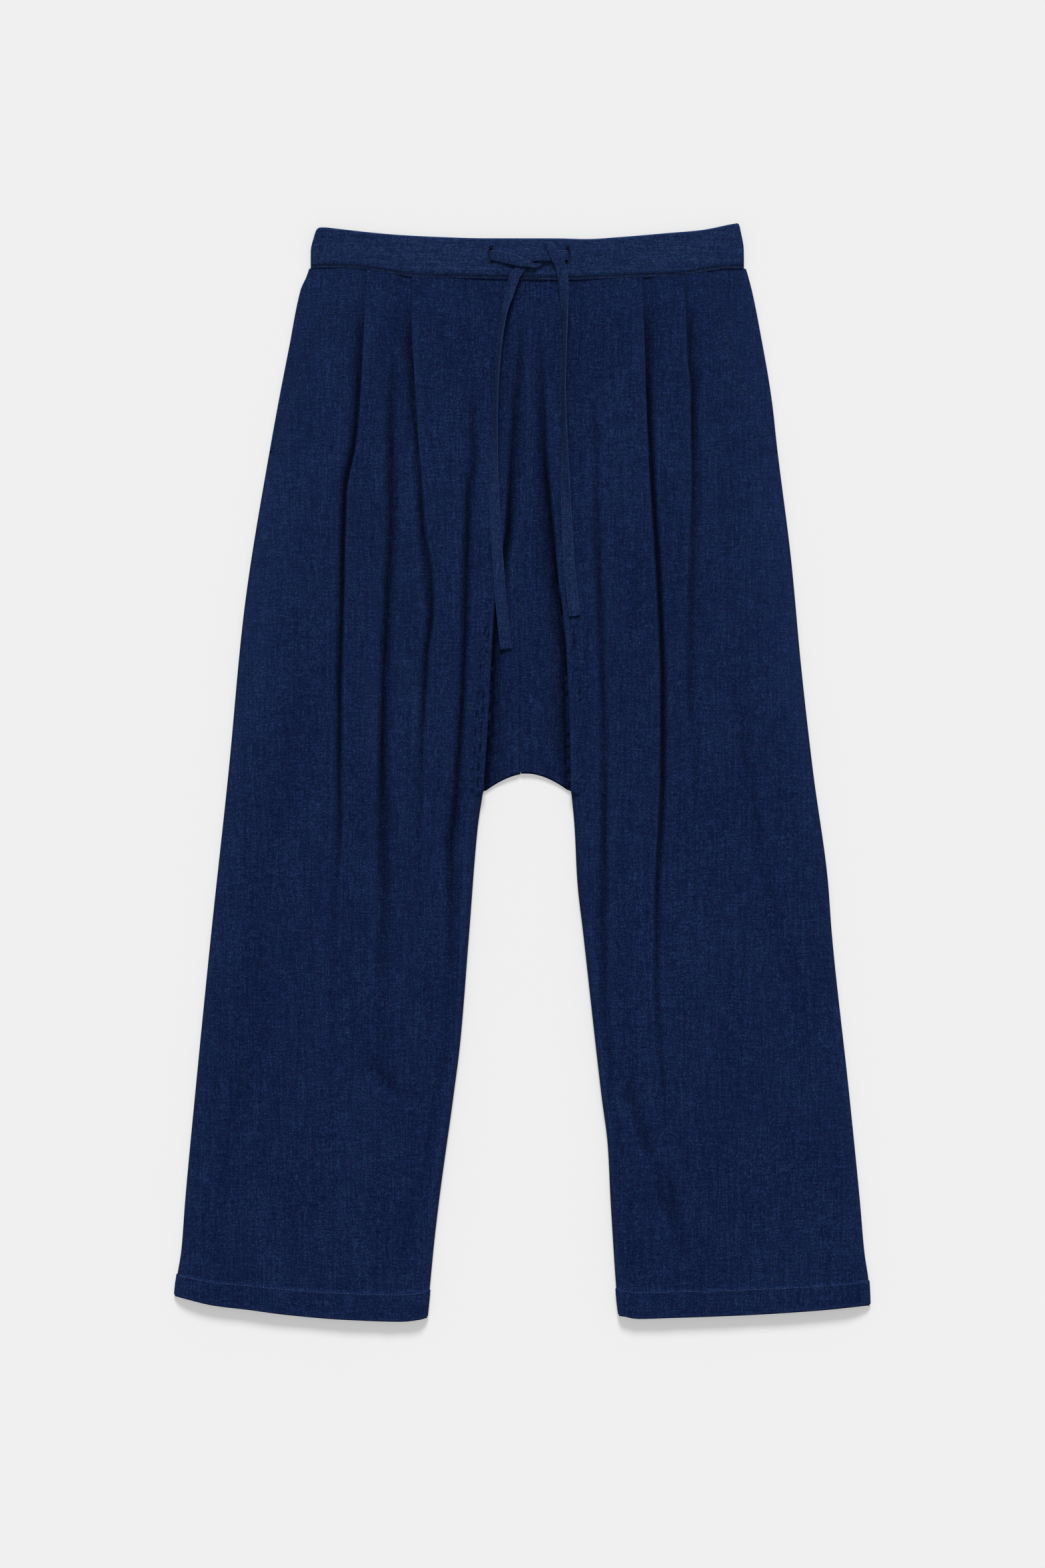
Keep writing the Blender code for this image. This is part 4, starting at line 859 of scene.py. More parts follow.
def front_mesh(leg, sizes):
    """A front panel: the leg from waist to hem, and the middle down to the arch."""
    half = sizes.wall / MM / 2
    upper, lower, fade, fold, cells = {}, {}, {}, {}, []
    for r, y in enumerate(fine_rows()):
        row = Row(leg, y)
        if y >= CROTCH_Y:
            points, leg_count = upper_points(row, half)
        else:
            points = lower_points(row, half)
            leg_count = len(points)
        x, z = np.array(points).T
        world_x = -leg.side * x
        middle = np.arange(len(x)) >= leg_count
        soft = mix(LEAST_CRISP, 1.0, row.crispness)
        troughs = rumpled(world_x, np.full_like(x, y))
        z = z + troughs * sizes.rumple * soft * np.minimum(z / 3.0, 1.0)
        uneven = 0.55 * cloudy(world_x, y, 30.0, 110.0, 2.0)
        uneven = uneven + 0.25 * cloudy(world_x, y, 9.0, 60.0, 7.0)
        z += uneven * sizes.rumple * np.minimum(z / 4.0, 1.0)
        z += puckered(row, x, world_x, sizes)
        if y >= CROTCH_Y:
            z[-1] -= SEAM_DIP
            z[-2] -= SEAM_DIP * 0.4
        press = mix(PRESSED, 1.0, float(ease((WAIST_Y - y) / PRESSED_REACH)))
        z = np.maximum(z * press, 0.0)
        hem = sizes.hem_extra / MM * float(ease((HEM_Y + HEM_DEPTH + 1.0 - y)))
        rounding = math.sqrt(max(0.06, 1 - max(0.0, 1 - (y - HEM_Y) / HEM_ROUND) ** 2))
        faces = walls(x, z, (half + hem) * rounding, half * rounding)
        for sheet, (face_x, face_z) in zip((upper, lower), faces[:2]):
            face_x = -leg.side * face_x
            face_y = bent_y(y, face_x, leg, middle)
            if r == 0:
                face_y = face_y - GAP
            for c in range(len(x)):
                sheet[r, c] = (face_x[c], face_y[c], face_z[c] + FRONT_BASE)
        loose = float(ease((WAIST_Y - 20 - y) / 34))
        # Paler on the outward bends of the folds, partly wear and partly painted highlight.
        worn_and_lit = np.clip(-faces[2] / 0.35, 0, 1) * 0.12 * sizes.fade * loose
        # Painted highlight: paler toward the outseam on the upper legs.
        worn_and_lit += hip_highlight(-x, y, leg)
        # Paler along the hem's edge, partly wear and partly painted highlight.
        worn_and_lit += 0.25 * sizes.fade * max(0.0, 1 - (y - HEM_Y) / 2.5)
        # Painted shade in the folds: how far each point lies under the cloth beside it, narrow and
        # broad.
        deep = fold_depth(x, z) * sizes.narrow_fold_shade + fold_depth(x, z, 20.0) * sizes.fold_shade
        deep = np.clip(deep, -0.12, 0.80) * loose * soft
        for c in range(len(x)):
            fade[r, c] = float(min(worn_and_lit[c], 1.0))
            fold[r, c] = float(deep[c])
        if r > 0:
            cells += [((r - 1, c), (r - 1, c + 1), (r, c + 1), (r, c)) for c in range(len(x) - 1)]
    return shell(f"fine_front_{leg.word}", upper, lower, cells, "indigo_cotton_plain_weave",
                 {"fade": fade, "fold": fold}, flip=leg.side < 0)


def back_mesh(leg):
    """A back panel, flat on the floor, a little longer than the front at hem and arch."""
    upper, lower, cells = {}, {}, []
    rows = fine_rows()
    kept = sorted(set(rows[::2] + [CROTCH_Y, HEM_Y]), reverse=True)
    across, middle = 40, 12
    for r, y in enumerate(kept):
        inner = float(leg.inseam(y))
        outer = float(leg.outseam(y))
        places = [mix(outer, inner, c / (across - 1)) for c in range(across)]
        if y >= CROTCH_Y:
            centre = leg.side * CENTRE_BACK_X + GAP / 2
            places += [mix(inner, centre, c / middle) for c in range(1, middle + 1)]
        world_x = leg.side * np.array(places)
        number = np.arange(len(places))
        world_y = bent_y(y, world_x, leg, number >= across, BACK_ARCH_DROP)
        world_y = world_y - (BACK_HEM_DROP if y == HEM_Y else 0.0) - (2 * GAP if r == 0 else 0.0)
        rim = (number == 0) | ((y < CROTCH_Y) & (number == across - 1)) | (y == HEM_Y)
        for c in number:
            upper[r, c] = (world_x[c], world_y[c], CLOTH - (0.35 if rim[c] else 0.0))
            lower[r, c] = (world_x[c], world_y[c], 0.0)
        if r > 0:
            cells += [((r - 1, c), (r - 1, c + 1), (r, c + 1), (r, c))
                      for c in range(len(places) - 1)]
    return shell(f"fine_back_{leg.word}", upper, lower, cells, "indigo_cotton_plain_weave",
                 flip=leg.side < 0)


def facing_mesh(leg, sizes):
    """The piece that shows between a slanted pocket edge and the outseam."""
    half = sizes.wall / MM / 2
    upper, lower, fade = {}, {}, {}
    rows, columns = 64, 26
    for r in range(rows):
        y = mix(WAIST_Y, POCKET_END_Y + 2, r / (rows - 1))
        outer = -float(leg.outseam(y)) + half
        inner = -float(leg.slant(y)) + FACING_UNDER
        x = outer + (inner - outer) * (np.arange(columns) / (columns - 1)) ** 1.4
        rise = np.sin(np.clip((x - outer) / 5.0, 0, 1) * math.pi / 2)
        z = FACING_RISE * rise
        height, reach, length = FACING_PUCKER
        ripple = waves(np.full_like(x, y), length, leg.side + 3)
        z += height * np.exp(-(x - outer) / reach) * rise * ripple
        z += 0.2 * cloudy(leg.side * x, y, 14.0, 30.0, 4.0) * rise
        press = mix(PRESSED, 1.0, float(ease((WAIST_Y - y) / PRESSED_REACH)))
        faces = walls(x, z * press, half, half)
        for sheet, (face_x, face_z) in zip((upper, lower), faces[:2]):
            face_x = -leg.side * face_x
            face_y = bent_y(y, face_x, leg, False) - (GAP if r == 0 else 0.0)
            for c in range(columns):
                sheet[r, c] = (face_x[c], face_y[c], face_z[c] + FRONT_BASE)
        # Painted highlight toward the outseam.
        for c in range(columns):
            fade[r, c] = float(hip_highlight(-x[c], y, leg))
    return shell(f"fine_pocket_facing_{leg.word}", upper, lower, grid_cells(rows, columns),
                 "indigo_cotton_plain_weave", {"fade": fade}, flip=leg.side < 0)


def band_columns():
    """Places across the waistband, closer at the eyelets."""
    places = set(np.linspace(0, 1, 190))
    left, right = BAND_ENDS[0][1], BAND_ENDS[0][2]
    for x, _ in EYELETS:
        for step in (-3.0, -2.4, -1.9, -1.5, -1.1, -0.6, 0, 0.6, 1.1, 1.5, 1.9, 2.4, 3.0):
            places.add((x + step - left) / (right - left))
    return sorted(places)


def band_mesh(front, sizes):
    """Half of the waistband: folded along its top; the front is sunk at its seam and dented at the
    eyelets.
    """
    base, thick = (BAND_BASE, BAND_FRONT) if front else (0.0, BAND_BACK)
    lefts, rights = Curve(BAND_ENDS, 1), Curve(BAND_ENDS, 2)
    shares = sorted(set(np.linspace(0, 1, 24)) | {0.012, 0.03, 0.055, 0.08, 0.11, 0.97, 0.985})
    columns = band_columns() if front else list(np.linspace(0, 1, 80))
    upper, lower, fade = {}, {}, {}
    for r, share in enumerate(shares):
        left, right = float(lefts(share)), float(rights(share))
        x = left + (right - left) * np.array(columns)
        y = mix(WAIST_LINE(x), TOP_LINE(x), share)
        up = share * BAND_DEPTH
        edge = math.sqrt(max(0.0, 1 - max(0.0, 1 - (1 - share) * BAND_DEPTH / BAND_ROUND) ** 2))
        z = np.full_like(x, base + thick * (0.5 + 0.5 * edge))
        if front:
            z -= 1.7 * math.exp(-(up / 3.0) ** 2) + 0.3 * math.exp(-((up - 1.7) / 0.7) ** 2)
            ripple = 0.22 * math.exp(-up / 7.0) * waves(x, 9.0, 2.2)
            ripple = ripple + 0.10 * waves(x + 0.6 * up, 26.0, 5.0)
            z += (ripple + 0.16 * cloudy(x, y, 22.0, 16.0, 3.0)) * sizes.pucker * edge
            for eye_x, eye_y in EYELETS:
                across = np.abs(x - eye_x) / (EYELET_SIZE[0] / 2)
                along = np.abs(y - eye_y) / (EYELET_SIZE[1] / 2)
                hollow = ease((1.25 - np.maximum(across, along)) / 0.3)
                z -= 2.0 * hollow
        ends = np.minimum(x - left, right - x)
        z -= 0.7 * np.exp(-ends / 0.8)
        for c in range(len(x)):
            upper[r, c] = (x[c], y[c], z[c])
            lower[r, c] = (x[c], y[c], base + (thick * 0.5 * (1 - edge) if front else 0.0))
            # Paler along the folded top, partly wear and partly painted highlight.
            fade[r, c] = sizes.fade * (0.25 if share > 0.96 else 0.0)
    name = "fine_waistband_front" if front else "fine_waistband_back"
    return shell(name, upper, lower, grid_cells(len(shares), len(columns)),
                 "indigo_cotton_waistband", {"fade": fade})


def smooth_route(route, step):
    """Stations about one step apart on a smooth curve through a route's own points."""
    stations = []
    count = len(route)
    for i in range(count - 1):
        four = [Vector(route[min(max(i + k, 0), count - 1)]) for k in (-1, 0, 1, 2)]
        steps = max(1, round((four[2] - four[1]).to_3d().length / step))
        for k in range(steps):
            t = k / steps
            stations.append(0.5 * (2 * four[1] + (four[2] - four[0]) * t
                                   + (2 * four[0] - 5 * four[1] + 4 * four[2] - four[3]) * t ** 2
                                   + (3 * four[1] - four[0] - 3 * four[2] + four[3]) * t ** 3))
    stations.append(Vector(route[-1]))
    return stations


def tie_frames(stations):
    """Centre, direction across and direction through the thickness at each station."""
    frames = []
    across = Vector((0, 1, 0))
    for i, station in enumerate(stations):
        before = Vector(stations[max(i - 1, 0)][:3])
        after = Vector(stations[min(i + 1, len(stations) - 1)][:3])
        along = (after - before).normalized()
        flat = across - along * across.dot(along)
        level = Vector((along.y, -along.x, 0))
        if level.length > 0.5:
            flat = level if level.dot(across) > 0 else -level
        across = flat.normalized()
        roll = math.radians(station[4])
        wide = across * math.cos(roll) + along.cross(across) * math.sin(roll)
        frames.append((Vector(station[:3]), wide, along.cross(wide)))
    return frames


# Columns: share of the tape's half width, share of its half thickness there. The dent is where
# the stitches along its edge pull it in.
TAPE_PROFILE = ((0.0, 1.0), (0.4, 1.02), (0.64, 0.98), (0.72, 0.80), (0.80, 1.0), (0.93, 0.85),
                (1.0, 0.3))


def tie_mesh(word, route, sizes):
    """A flat drawstring with sewn edges, swept along its route."""
    stations = smooth_route(route, sizes.tie_step / MM)
    top = [(w, h) for w, h in TAPE_PROFILE] + [(-w, h) for w, h in TAPE_PROFILE[1:]]
    top.sort(reverse=True)
    ring = top + [(w, -h) for w, h in reversed(top)]
    points, faces, fade = [], [], []
    for i, (station, (centre, wide, thick)) in enumerate(zip(stations, tie_frames(stations))):
        run = i * sizes.tie_step / MM
        for w, h in ring:
            seed = 1.0 if w > 0 else 3.0
            width = station[3] / 2 + 0.16 * abs(w) * float(waves(run, 11.0, seed))
            lift = 0.10 * abs(w) * float(waves(run, 9.0, seed + 1))
            points.append((centre + wide * w * width + thick * (h * TIE_THICK / 2 + lift)) * MM)
            # Paler along the tape's edges, partly wear and partly painted highlight.
            fade.append((0.30 if abs(w) > 0.9 else 0.0) * sizes.fade)
    size, rings = len(ring), len(stations)
    for i in range(rings - 1):
        for k in range(size):
            a, b = i * size + k, i * size + (k + 1) % size
            faces.append([a, b, b + size, a + size])
    faces.append(list(reversed(range(size))))
    faces.append([(rings - 1) * size + k for k in range(size)])
    mesh = bpy.data.meshes.new(f"fine_drawstring_{word}")
    mesh.from_pydata(points, [], faces)
    mesh.shade_smooth()
    mesh.set_sharp_from_angle(angle=math.radians(60))
    layer = mesh.attributes.new("fade", "FLOAT", "POINT")
    layer.data.foreach_set("value", fade)
    return link_mesh(f"fine_drawstring_{word}", mesh, "indigo_cotton_tape")


def stitch_tree():
    """Node tree that lays stitches along every path of edges."""
    known = bpy.data.node_groups.get("stitch_row")
    if known:
        return known
    tree = bpy.data.node_groups.new("stitch_row", "GeometryNodeTree")
    tree.is_modifier = True
    face = tree.interface
    face.new_socket("Paths", in_out="INPUT", socket_type="NodeSocketGeometry")
    for name, value in (("Pitch", 0.0028), ("Stitch Length", 0.002), ("Thread Width", 0.0005),
                        ("Unevenness", 0.15), ("Turn", 0.0)):
        face.new_socket(name, in_out="INPUT", socket_type="NodeSocketFloat").default_value = value
    face.new_socket("Seed", in_out="INPUT", socket_type="NodeSocketInt").default_value = 7
    face.new_socket("Thread", in_out="INPUT", socket_type="NodeSocketMaterial")
    face.new_socket("Stitches", in_out="OUTPUT", socket_type="NodeSocketGeometry")
    given = add_node(tree, "NodeGroupInput").outputs
    path = add_node(tree, "GeometryNodeMeshToCurve", {0: given["Paths"]})
    level = add_node(tree, "GeometryNodeSetCurveNormal", {"Curve": path.outputs[0]})
    level.mode = "Z_UP"
    places = add_node(tree, "GeometryNodeCurveToPoints",
                      {"Curve": level.outputs[0], "Length": given["Pitch"]}, mode="LENGTH")
    bead = add_node(tree, "GeometryNodeMeshUVSphere", {"Segments": 6, "Rings": 5, "Radius": 0.5})
    size = add_node(tree, "ShaderNodeCombineXYZ", {0: given["Thread Width"],
                                                   1: given["Thread Width"],
                                                   2: given["Stitch Length"]})
    stitch = add_node(tree, "GeometryNodeTransform", {"Geometry": bead.outputs["Mesh"],
                                                      "Scale": size.outputs[0]})
    angle = add_node(tree, "ShaderNodeCombineXYZ", {0: given["Turn"]})
    turned = add_node(tree, "GeometryNodeTransform", {"Geometry": stitch.outputs[0],
                                                      "Rotation": angle.outputs[0]})
    least = add_node(tree, "ShaderNodeMath", {0: 1.0, 1: given["Unevenness"]},
                     operation="SUBTRACT")
    most = add_node(tree, "ShaderNodeMath", {0: 1.0, 1: given["Unevenness"]}, operation="ADD")
    uneven = add_node(tree, "FunctionNodeRandomValue", {2: least.outputs[0], 3: most.outputs[0],
                                                        "Seed": given["Seed"]})
    laid = add_node(tree, "GeometryNodeInstanceOnPoints", {
        "Points": places.outputs["Points"], "Instance": turned.outputs[0],
        "Rotation": places.outputs["Rotation"], "Scale": uneven.outputs[1]})
    real = add_node(tree, "GeometryNodeRealizeInstances", {0: laid.outputs[0]})
    dressed = add_node(tree, "GeometryNodeSetMaterial", {"Geometry": real.outputs[0],
                                                         "Material": given["Thread"]})
    add_node(tree, "NodeGroupOutput", {0: dressed.outputs[0]})
    return tree


def sew(name, paths, material, **sizes):
    """Stitches along paths of points in millimetres, as one plain mesh."""
    points, edges = [], []
    for path in paths:
        first = len(points)
        points += [Vector(point) * MM for point in path]
        edges += [(first + i, first + i + 1) for i in range(len(path) - 1)]
    if not edges:
        raise RuntimeError(f"{name} has no path to follow")
    lines = bpy.data.meshes.new(name + "_lines")
    lines.from_pydata(points, edges, [])
    source = bpy.data.objects.new(name + "_lines", lines)
    bpy.context.scene.collection.objects.link(source)
    tree = stitch_tree()
    modifier = source.modifiers.new("stitches", "NODES")
    modifier.node_group = tree
    values = dict(sizes, Thread=finish_of(material))
    for socket in tree.interface.items_tree:
        if socket.item_type == "SOCKET" and socket.in_out == "INPUT" and socket.name in values:
            modifier[socket.identifier] = values[socket.name]
    graph = bpy.context.evaluated_depsgraph_get()
    mesh = bpy.data.meshes.new_from_object(source.evaluated_get(graph), depsgraph=graph)
    bpy.data.objects.remove(source, do_unlink=True)
    mesh.shade_smooth()
    return ride_as(link_mesh(name, mesh, material))


def ride_as(piece):
    """Hangs the piece under the garment's root, so that it moves with the garment."""
    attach(piece, "root")
    return piece


def piece(name):
    """A piece that an earlier operator made."""
    found = bpy.data.objects.get(name)
    if found is None:
        raise RuntimeError(f"{name} isn't made yet")
    return found


class Surface:
    """Finds the top of the finished cloth under a place, in millimetres."""

    def __init__(self, *names):
        self.trees = []
        for name in names:
            mesh = piece(name).data
            faces = [list(face.vertices) for face in mesh.polygons]
            self.trees.append(BVHTree.FromPolygons([v.co for v in mesh.vertices], faces))

    def top(self, x, y):
        hits = [tree.ray_cast(Vector((x * MM, y * MM, 0.1)), Vector((0, 0, -1)))
                for tree in self.trees]
        heights = [hit[0].z / MM for hit in hits if hit[0] is not None]
        return max(heights) if heights else None

    def laid(self, places, lift=0.12):
        """Paths on the cloth through places, broken where there is no cloth under them."""
        paths, path = [], []
        for x, y in places:
            z = self.top(x, y)
            if z is None or (path and abs(z - path[-1][2]) > 1.6):
                paths.append(path)
                path = []
            if z is not None:
                path.append((x, y, z + lift))
        return [path for path in paths + [path] if len(path) > 2]


class JeansSizes(bpy.types.PropertyGroup):
    wall: bpy.props.FloatProperty(
        name="Cloth", description="Thickness of one layer", default=0.0008, unit="LENGTH")
    hem_extra: bpy.props.FloatProperty(
        name="Hem", description="What the turned-up cloth adds", default=0.0009, unit="LENGTH")
    pucker: bpy.props.FloatProperty(
        name="Puckers", description="Strength of the ripples at seams", default=1.0,
        subtype="FACTOR", min=0.0, max=3.0)
    rumple: bpy.props.FloatProperty(
        name="Rumples", description="Strength of the soft troughs and ridges", default=1.0,
        subtype="FACTOR", min=0.0, max=3.0)
    # How much paler the folded edges are: partly wear, partly painted highlight.
    fade: bpy.props.FloatProperty(
        name="Fading", description="How much paler the folded edges are", default=1.0,
        subtype="FACTOR", min=0.0, max=2.0)
    # Strengths of the painted shade in the folds, for each millimetre of a fold's depth, narrow and
    # broad.
    narrow_fold_shade: bpy.props.FloatProperty(
        name="Fold painted_shade", description="Extra painted_shade in a fold for each millimetre of its depth",
        default=0.26, min=0.0, max=1.0)
    fold_shade: bpy.props.FloatProperty(
        name="Fold shade", description="The same for the broad slopes beside the folds",
        default=0.11, min=0.0, max=1.0)
    tie_width: bpy.props.FloatProperty(
        name="Drawstring", description="Width of the flat tape", default=0.010, unit="LENGTH")
    tie_step: bpy.props.FloatProperty(
        name="Tape step", description="Length between the tape's rings", default=0.0016,
        unit="LENGTH")


class JeansColours(bpy.types.PropertyGroup):
    deep: bpy.props.StringProperty(
        name="Deep indigo", description="Darkest yarns, sRGB", default="#040A26")
    middle: bpy.props.StringProperty(
        name="Indigo", description="Most of the yarns, sRGB", default="#101D3E")
    pale: bpy.props.StringProperty(
        name="Pale indigo", description="Palest slubs, sRGB", default="#273A64")
    # The pale indigo that the cloth is blended to: partly wear, partly painted highlight.
    worn_and_lit: bpy.props.StringProperty(
        name="Worn indigo", description="Folded edges, sRGB", default="#2C4070")
    band_deep: bpy.props.StringProperty(
        name="Deep waistband", description="Darkest yarns of the waistband", default="#08112F")
    band_middle: bpy.props.StringProperty(
        name="Waistband", description="Most of the waistband's yarns", default="#172648")
    band_pale: bpy.props.StringProperty(
        name="Pale waistband", description="Palest slubs of the waistband", default="#2E426D")
    thread: bpy.props.StringProperty(
        name="Thread", description="Sewing thread, sRGB", default="#0D1630")
    hem_thread: bpy.props.StringProperty(
        name="Hem thread", description="Faded thread of the hems, sRGB", default="#31446C")
    eyelet_thread: bpy.props.StringProperty(
        name="Eyelet thread", description="Thread round the eyelets, sRGB", default="#23262F")
    floor: bpy.props.StringProperty(
        name="Floor", description="White of the table, sRGB", default="#BDBDBD")


class JeansThread(bpy.types.PropertyGroup):
    pitch: bpy.props.FloatProperty(
        name="Pitch", description="From one stitch to the next", default=0.0028, unit="LENGTH")
    length: bpy.props.FloatProperty(
        name="Length", description="Length of a stitch", default=0.0021, unit="LENGTH")
    width: bpy.props.FloatProperty(
        name="Width", description="Thickness of the thread", default=0.00055, unit="LENGTH")


class JeansStage(bpy.types.PropertyGroup):
    camera_height: bpy.props.FloatProperty(
        name="Camera", description="Height of the camera over the floor", default=4.0,
        unit="LENGTH")
    sun_height: bpy.props.FloatProperty(
        name="Light height", description="Angle of the main light over the floor",
        default=math.radians(34), subtype="ANGLE")
    sun_softness: bpy.props.FloatProperty(
        name="Light softness", description="Angle that the main light fills",
        default=math.radians(17), subtype="ANGLE")
    sun_strength: bpy.props.FloatProperty(
        name="Main light", description="Strength of the main light", default=3.37)
    sky_strength: bpy.props.FloatProperty(
        name="Fill light", description="Strength of the even light", default=0.40)
    table_glow: bpy.props.FloatProperty(
        name="Glow", description="Light that the table gives off", default=0.364)


class JEANS_OT_fronts(bpy.types.Operator):
    """Make the two front panels with their pleats, grooves and hems"""
    bl_idname = "jeans.fronts"
    bl_label = "Fronts"

    def execute(self, context):
        for leg in LEGS:
            made = ride_as(front_mesh(leg, context.scene.jeans_sizes))
            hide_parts(f"front_{leg.word}")
        return {"FINISHED"}


class JEANS_OT_backs(bpy.types.Operator):
    """Make the two back panels"""
    bl_idname = "jeans.backs"
    bl_label = "Backs"

    def execute(self, context):
        for leg in LEGS:
            made = ride_as(back_mesh(leg))
            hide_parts(f"back_{leg.word}")
        return {"FINISHED"}


class JEANS_OT_facings(bpy.types.Operator):
    """Make the pocket facings"""
    bl_idname = "jeans.facings"
    bl_label = "Pocket facings"

    def execute(self, context):
        for leg in LEGS:
            made = ride_as(facing_mesh(leg, context.scene.jeans_sizes))
            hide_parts(f"pocket_facing_{leg.word}")
        return {"FINISHED"}


class JEANS_OT_waistband(bpy.types.Operator):
    """Make the front and the back of the waistband"""
    bl_idname = "jeans.waistband"
    bl_label = "Waistband"

    def execute(self, context):
        for front in (True, False):
            word = "front" if front else "back"
            made = ride_as(band_mesh(front, context.scene.jeans_sizes))
            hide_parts(f"waistband_{word}")
        return {"FINISHED"}


class JEANS_OT_drawstring(bpy.types.Operator):
    """Make the two ends of the drawstring, tied in a half knot"""
    bl_idname = "jeans.drawstring"
    bl_label = "Drawstring"

    def execute(self, context):
        sizes = context.scene.jeans_sizes
        for word, route in (("left", TIE_FROM_LEFT), ("right", TIE_FROM_RIGHT)):
            made = ride_as(tie_mesh(word, route, sizes))
            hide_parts(f"drawstring_{word}")
        return {"FINISHED"}


class JEANS_OT_seams(bpy.types.Operator):
    """Sew the seams of the waistband, pleats, pockets, middle and hems"""
    bl_idname = "jeans.seams"
    bl_label = "Seams"

    def execute(self, context):
        thread = context.scene.jeans_thread
        sizes = {"Pitch": thread.pitch, "Stitch Length": thread.length,
                 "Thread Width": thread.width}
        band = Surface("fine_waistband_front")
        xs = np.arange(-189.0, 198.5, 1.0)
        sew("waistband_topstitch", band.laid([(x, float(WAIST_LINE(x)) + 1.7) for x in xs]),
            "indigo_spun_thread", **sizes)
        tack = [(-159.3, 470.1), (-150.9, 470.1), (-150.9, 474.9), (-159.3, 474.9),
                (-159.3, 470.1)]
        square = [(mix(a[0], b[0], t), mix(a[1], b[1], t))
                  for a, b in zip(tack, tack[1:]) for t in (0, 0.25, 0.5, 0.75)]
        sew("waistband_tack", band.laid(square + tack[:1]), "faded_spun_thread",
            **dict(sizes, Pitch=0.0016, **{"Stitch Length": 0.0012}))
        fronts = Surface("fine_front_left", "fine_front_right")
        rows = []
        for leg in LEGS:
            ys = np.arange(POCKET_END_Y + 6.0, 451.0, 1.0)
            for inset in (1.6, 6.4):
                rows.append([(leg.side * (float(leg.slant(y)) - inset), y) for y in ys])
            for pleat, depth in zip(leg.pleats, (14.0, 26.0)):
                xs = [leg.side * (float(pleat[0](440.0)) - 2.4)] * 40
                tops = np.linspace(float(WAIST_LINE(xs[0])) - 2.0,
                                   float(WAIST_LINE(xs[0])) - depth, 40)
                rows.append(list(zip(xs, tops)))
        rows.append([(float(CENTRE_LINE(y)) + 1.5, y) for y in np.arange(20.0, 441.0, 1.5)])
        paths = [path for places in rows for path in fronts.laid(places)]
        sew("front_topstitch", paths, "indigo_spun_thread", **sizes)
        hems = []
        for leg in LEGS:
            y = HEM_Y + HEM_DEPTH - 0.6
            outs = np.linspace(float(leg.outseam(y)) - 3, float(leg.inseam(y)) + 3, 300)
            places = [(leg.side * out, float(bent_y(y, leg.side * out, leg, False)))
                      for out in outs]
            hems += fronts.laid(places)
        sew("hem_stitches", hems, "faded_spun_thread", **sizes)
        return {"FINISHED"}


class JEANS_OT_tape_stitches(bpy.types.Operator):
    """Sew the edges of the drawstring and work the eyelets"""
    bl_idname = "jeans.tape_stitches"
    bl_label = "Drawstring and eyelet stitches"

    def execute(self, context):
        thread = context.scene.jeans_thread
        paths = []
        for route in (TIE_FROM_LEFT, TIE_FROM_RIGHT):
            stations = smooth_route(route, 1.6)
            frames = tie_frames(stations)
            for side in (-0.74, 0.74):
                line = []
                for station, (centre, wide, thick) in zip(stations[4:-2], frames[4:-2]):
                    face = thick if thick.z > 0 else -thick
                    line.append(centre + wide * side * station[3] / 2
                                + face * (TIE_THICK / 2 - 0.02))
                paths.append(line)
            station, (centre, wide, thick) = stations[-4], frames[-4]
            face = thick if thick.z > 0 else -thick
            paths.append([centre + wide * mix(-0.7, 0.7, t / 8) * station[3] / 2
                          + face * (TIE_THICK / 2 + 0.1) for t in range(9)])
        sew("drawstring_stitches", paths, "indigo_spun_thread", Pitch=thread.pitch,
            Thread=None, **{"Stitch Length": thread.length, "Thread Width": 0.00045})
        band = Surface("fine_waistband_front")
        rings = []
        for x, y in EYELETS:
            wide, tall = EYELET_SIZE[0] / 2 + 0.9, EYELET_SIZE[1] / 2 + 0.9
            ring = [(x + wide * math.cos(a), y + tall * math.sin(a))
                    for a in np.linspace(0, 2 * math.pi, 61)]
            rings += band.laid(ring, lift=0.05)
        sew("eyelet_stitches", rings, "buttonhole_thread", Pitch=0.0007, Unevenness=0.25,
            Turn=math.pi / 2, **{"Stitch Length": 0.0019, "Thread Width": 0.0007})
        return {"FINISHED"}


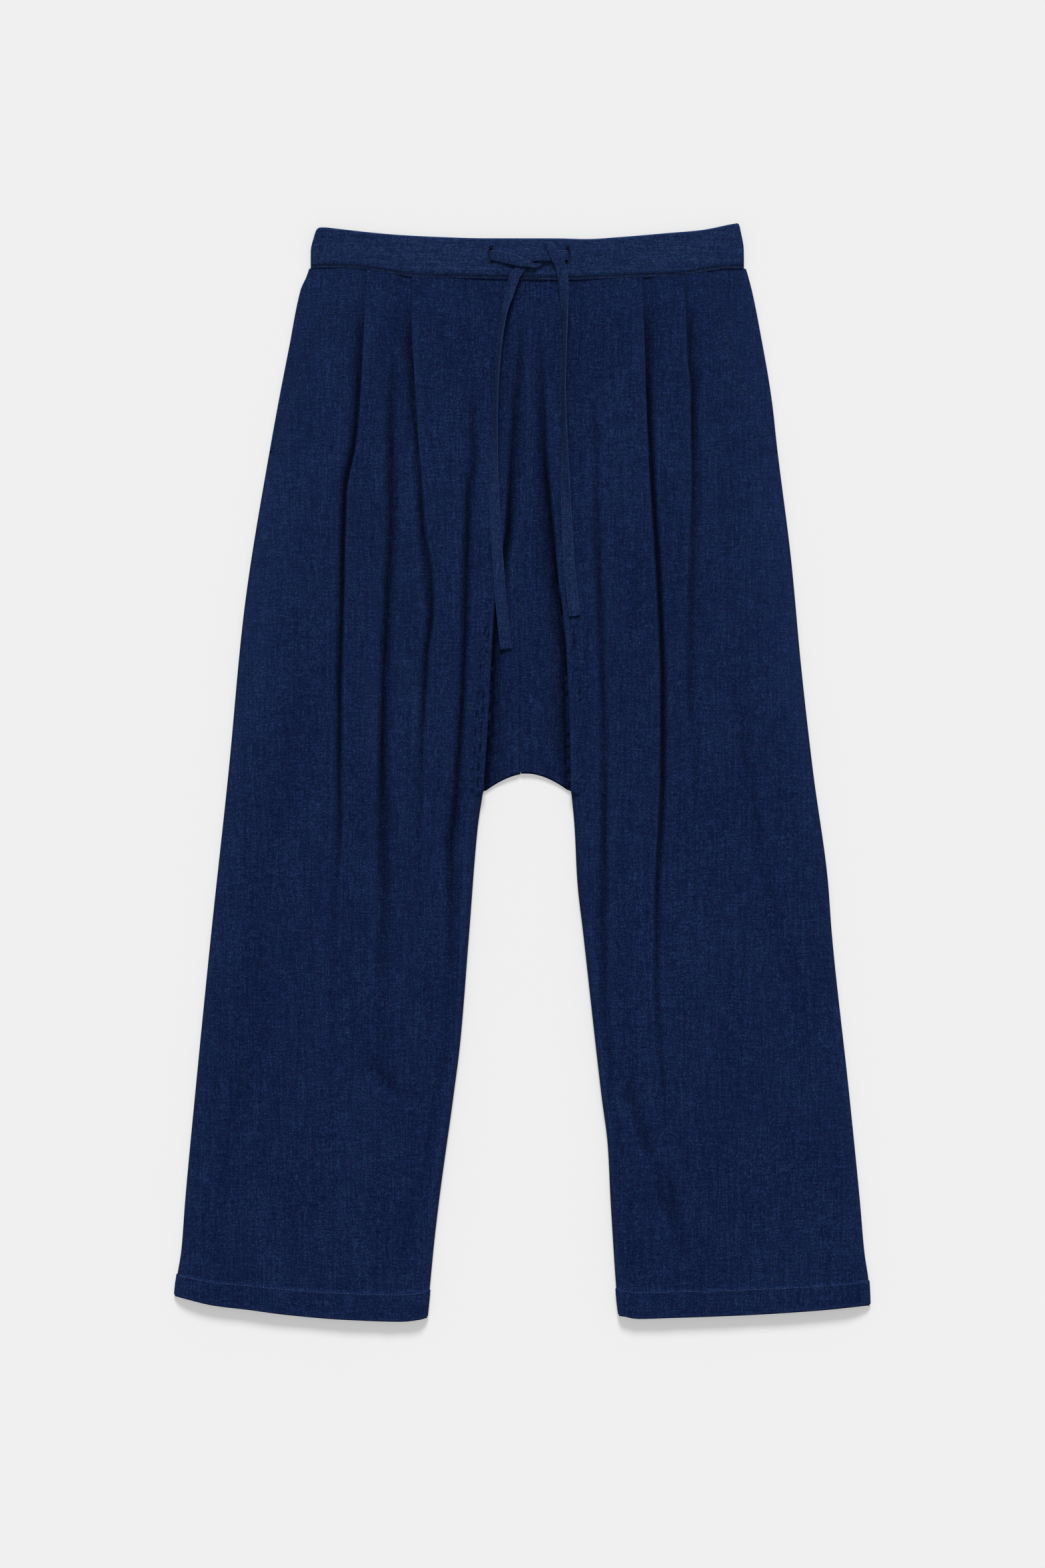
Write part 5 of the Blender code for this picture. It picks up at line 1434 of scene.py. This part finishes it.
class JEANS_OT_stage(bpy.types.Operator):
    """Lay the floor, light it and set the camera straight above"""
    bl_idname = "jeans.stage"
    bl_label = "Stage"

    def execute(self, context):
        scene = context.scene
        stage = scene.jeans_stage
        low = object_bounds()[0].z - 0.0004
        reach = 12.0
        mesh = bpy.data.meshes.new("studio_floor")
        mesh.from_pydata([(-reach, -reach, low), (reach, -reach, low), (reach, reach, low),
                          (-reach, reach, low)], [], [(0, 1, 2, 3)])
        link_mesh("studio_floor", mesh, "white_light_table")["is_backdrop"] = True
        lens = bpy.data.cameras.new("camera")
        lens.sensor_width = 36.0
        lens.lens = lens.sensor_width / 2 / (PHOTO_HEIGHT / 2 / stage.camera_height)
        lens.clip_end = 20.0
        camera = bpy.data.objects.new("camera", lens)
        camera.location = (*PHOTO_CENTRE, stage.camera_height)
        scene.collection.objects.link(camera)
        scene.camera = camera
        light = bpy.data.lights.new("window", "SUN")
        light.energy = stage.sun_strength
        light.angle = stage.sun_softness
        sun = bpy.data.objects.new("window", light)
        sun.rotation_euler = (-(math.pi / 2 - stage.sun_height), 0.0, 0.0)
        scene.collection.objects.link(sun)
        world = bpy.data.worlds.new("even_light")
        world.use_nodes = True
        background = world.node_tree.nodes["Background"]
        background.inputs["Color"].default_value = (1.0, 1.0, 1.0, 1.0)
        background.inputs["Strength"].default_value = stage.sky_strength
        scene.world = world
        scene.view_settings.view_transform = "Standard"
        return {"FINISHED"}


OPERATORS = (JEANS_OT_stage, JEANS_OT_drawstring, JEANS_OT_fronts, JEANS_OT_backs,
             JEANS_OT_facings, JEANS_OT_waistband, JEANS_OT_seams, JEANS_OT_tape_stitches)
GROUPS = {"jeans_sizes": JeansSizes, "jeans_colours": JeansColours, "jeans_thread": JeansThread,
          "jeans_stage": JeansStage}


class JEANS_PT_panel(bpy.types.Panel):
    """Sizes and colours of the jeans, and an operator for each piece"""
    bl_idname = "JEANS_PT_panel"
    bl_label = "Jeans"
    bl_space_type = "VIEW_3D"
    bl_region_type = "UI"
    bl_category = "Jeans"

    def draw(self, context):
        for name, group in GROUPS.items():
            box = self.layout.box()
            for size in group.__annotations__:
                box.prop(getattr(context.scene, name), size)
        for operator in OPERATORS:
            self.layout.operator(operator.bl_idname)


def register():
    for item in (*GROUPS.values(), *OPERATORS, JEANS_PT_panel):
        bpy.utils.register_class(item)
    for name, group in GROUPS.items():
        setattr(bpy.types.Scene, name, bpy.props.PointerProperty(type=group))


def unregister():
    for name in GROUPS:
        delattr(bpy.types.Scene, name)
    for item in reversed((*GROUPS.values(), *OPERATORS, JEANS_PT_panel)):
        bpy.utils.unregister_class(item)


def main():
    register()
    for operator in OPERATORS:
        group, name = operator.bl_idname.split(".")
        getattr(getattr(bpy.ops, group), name)()


if __name__ == "__main__":
    main()
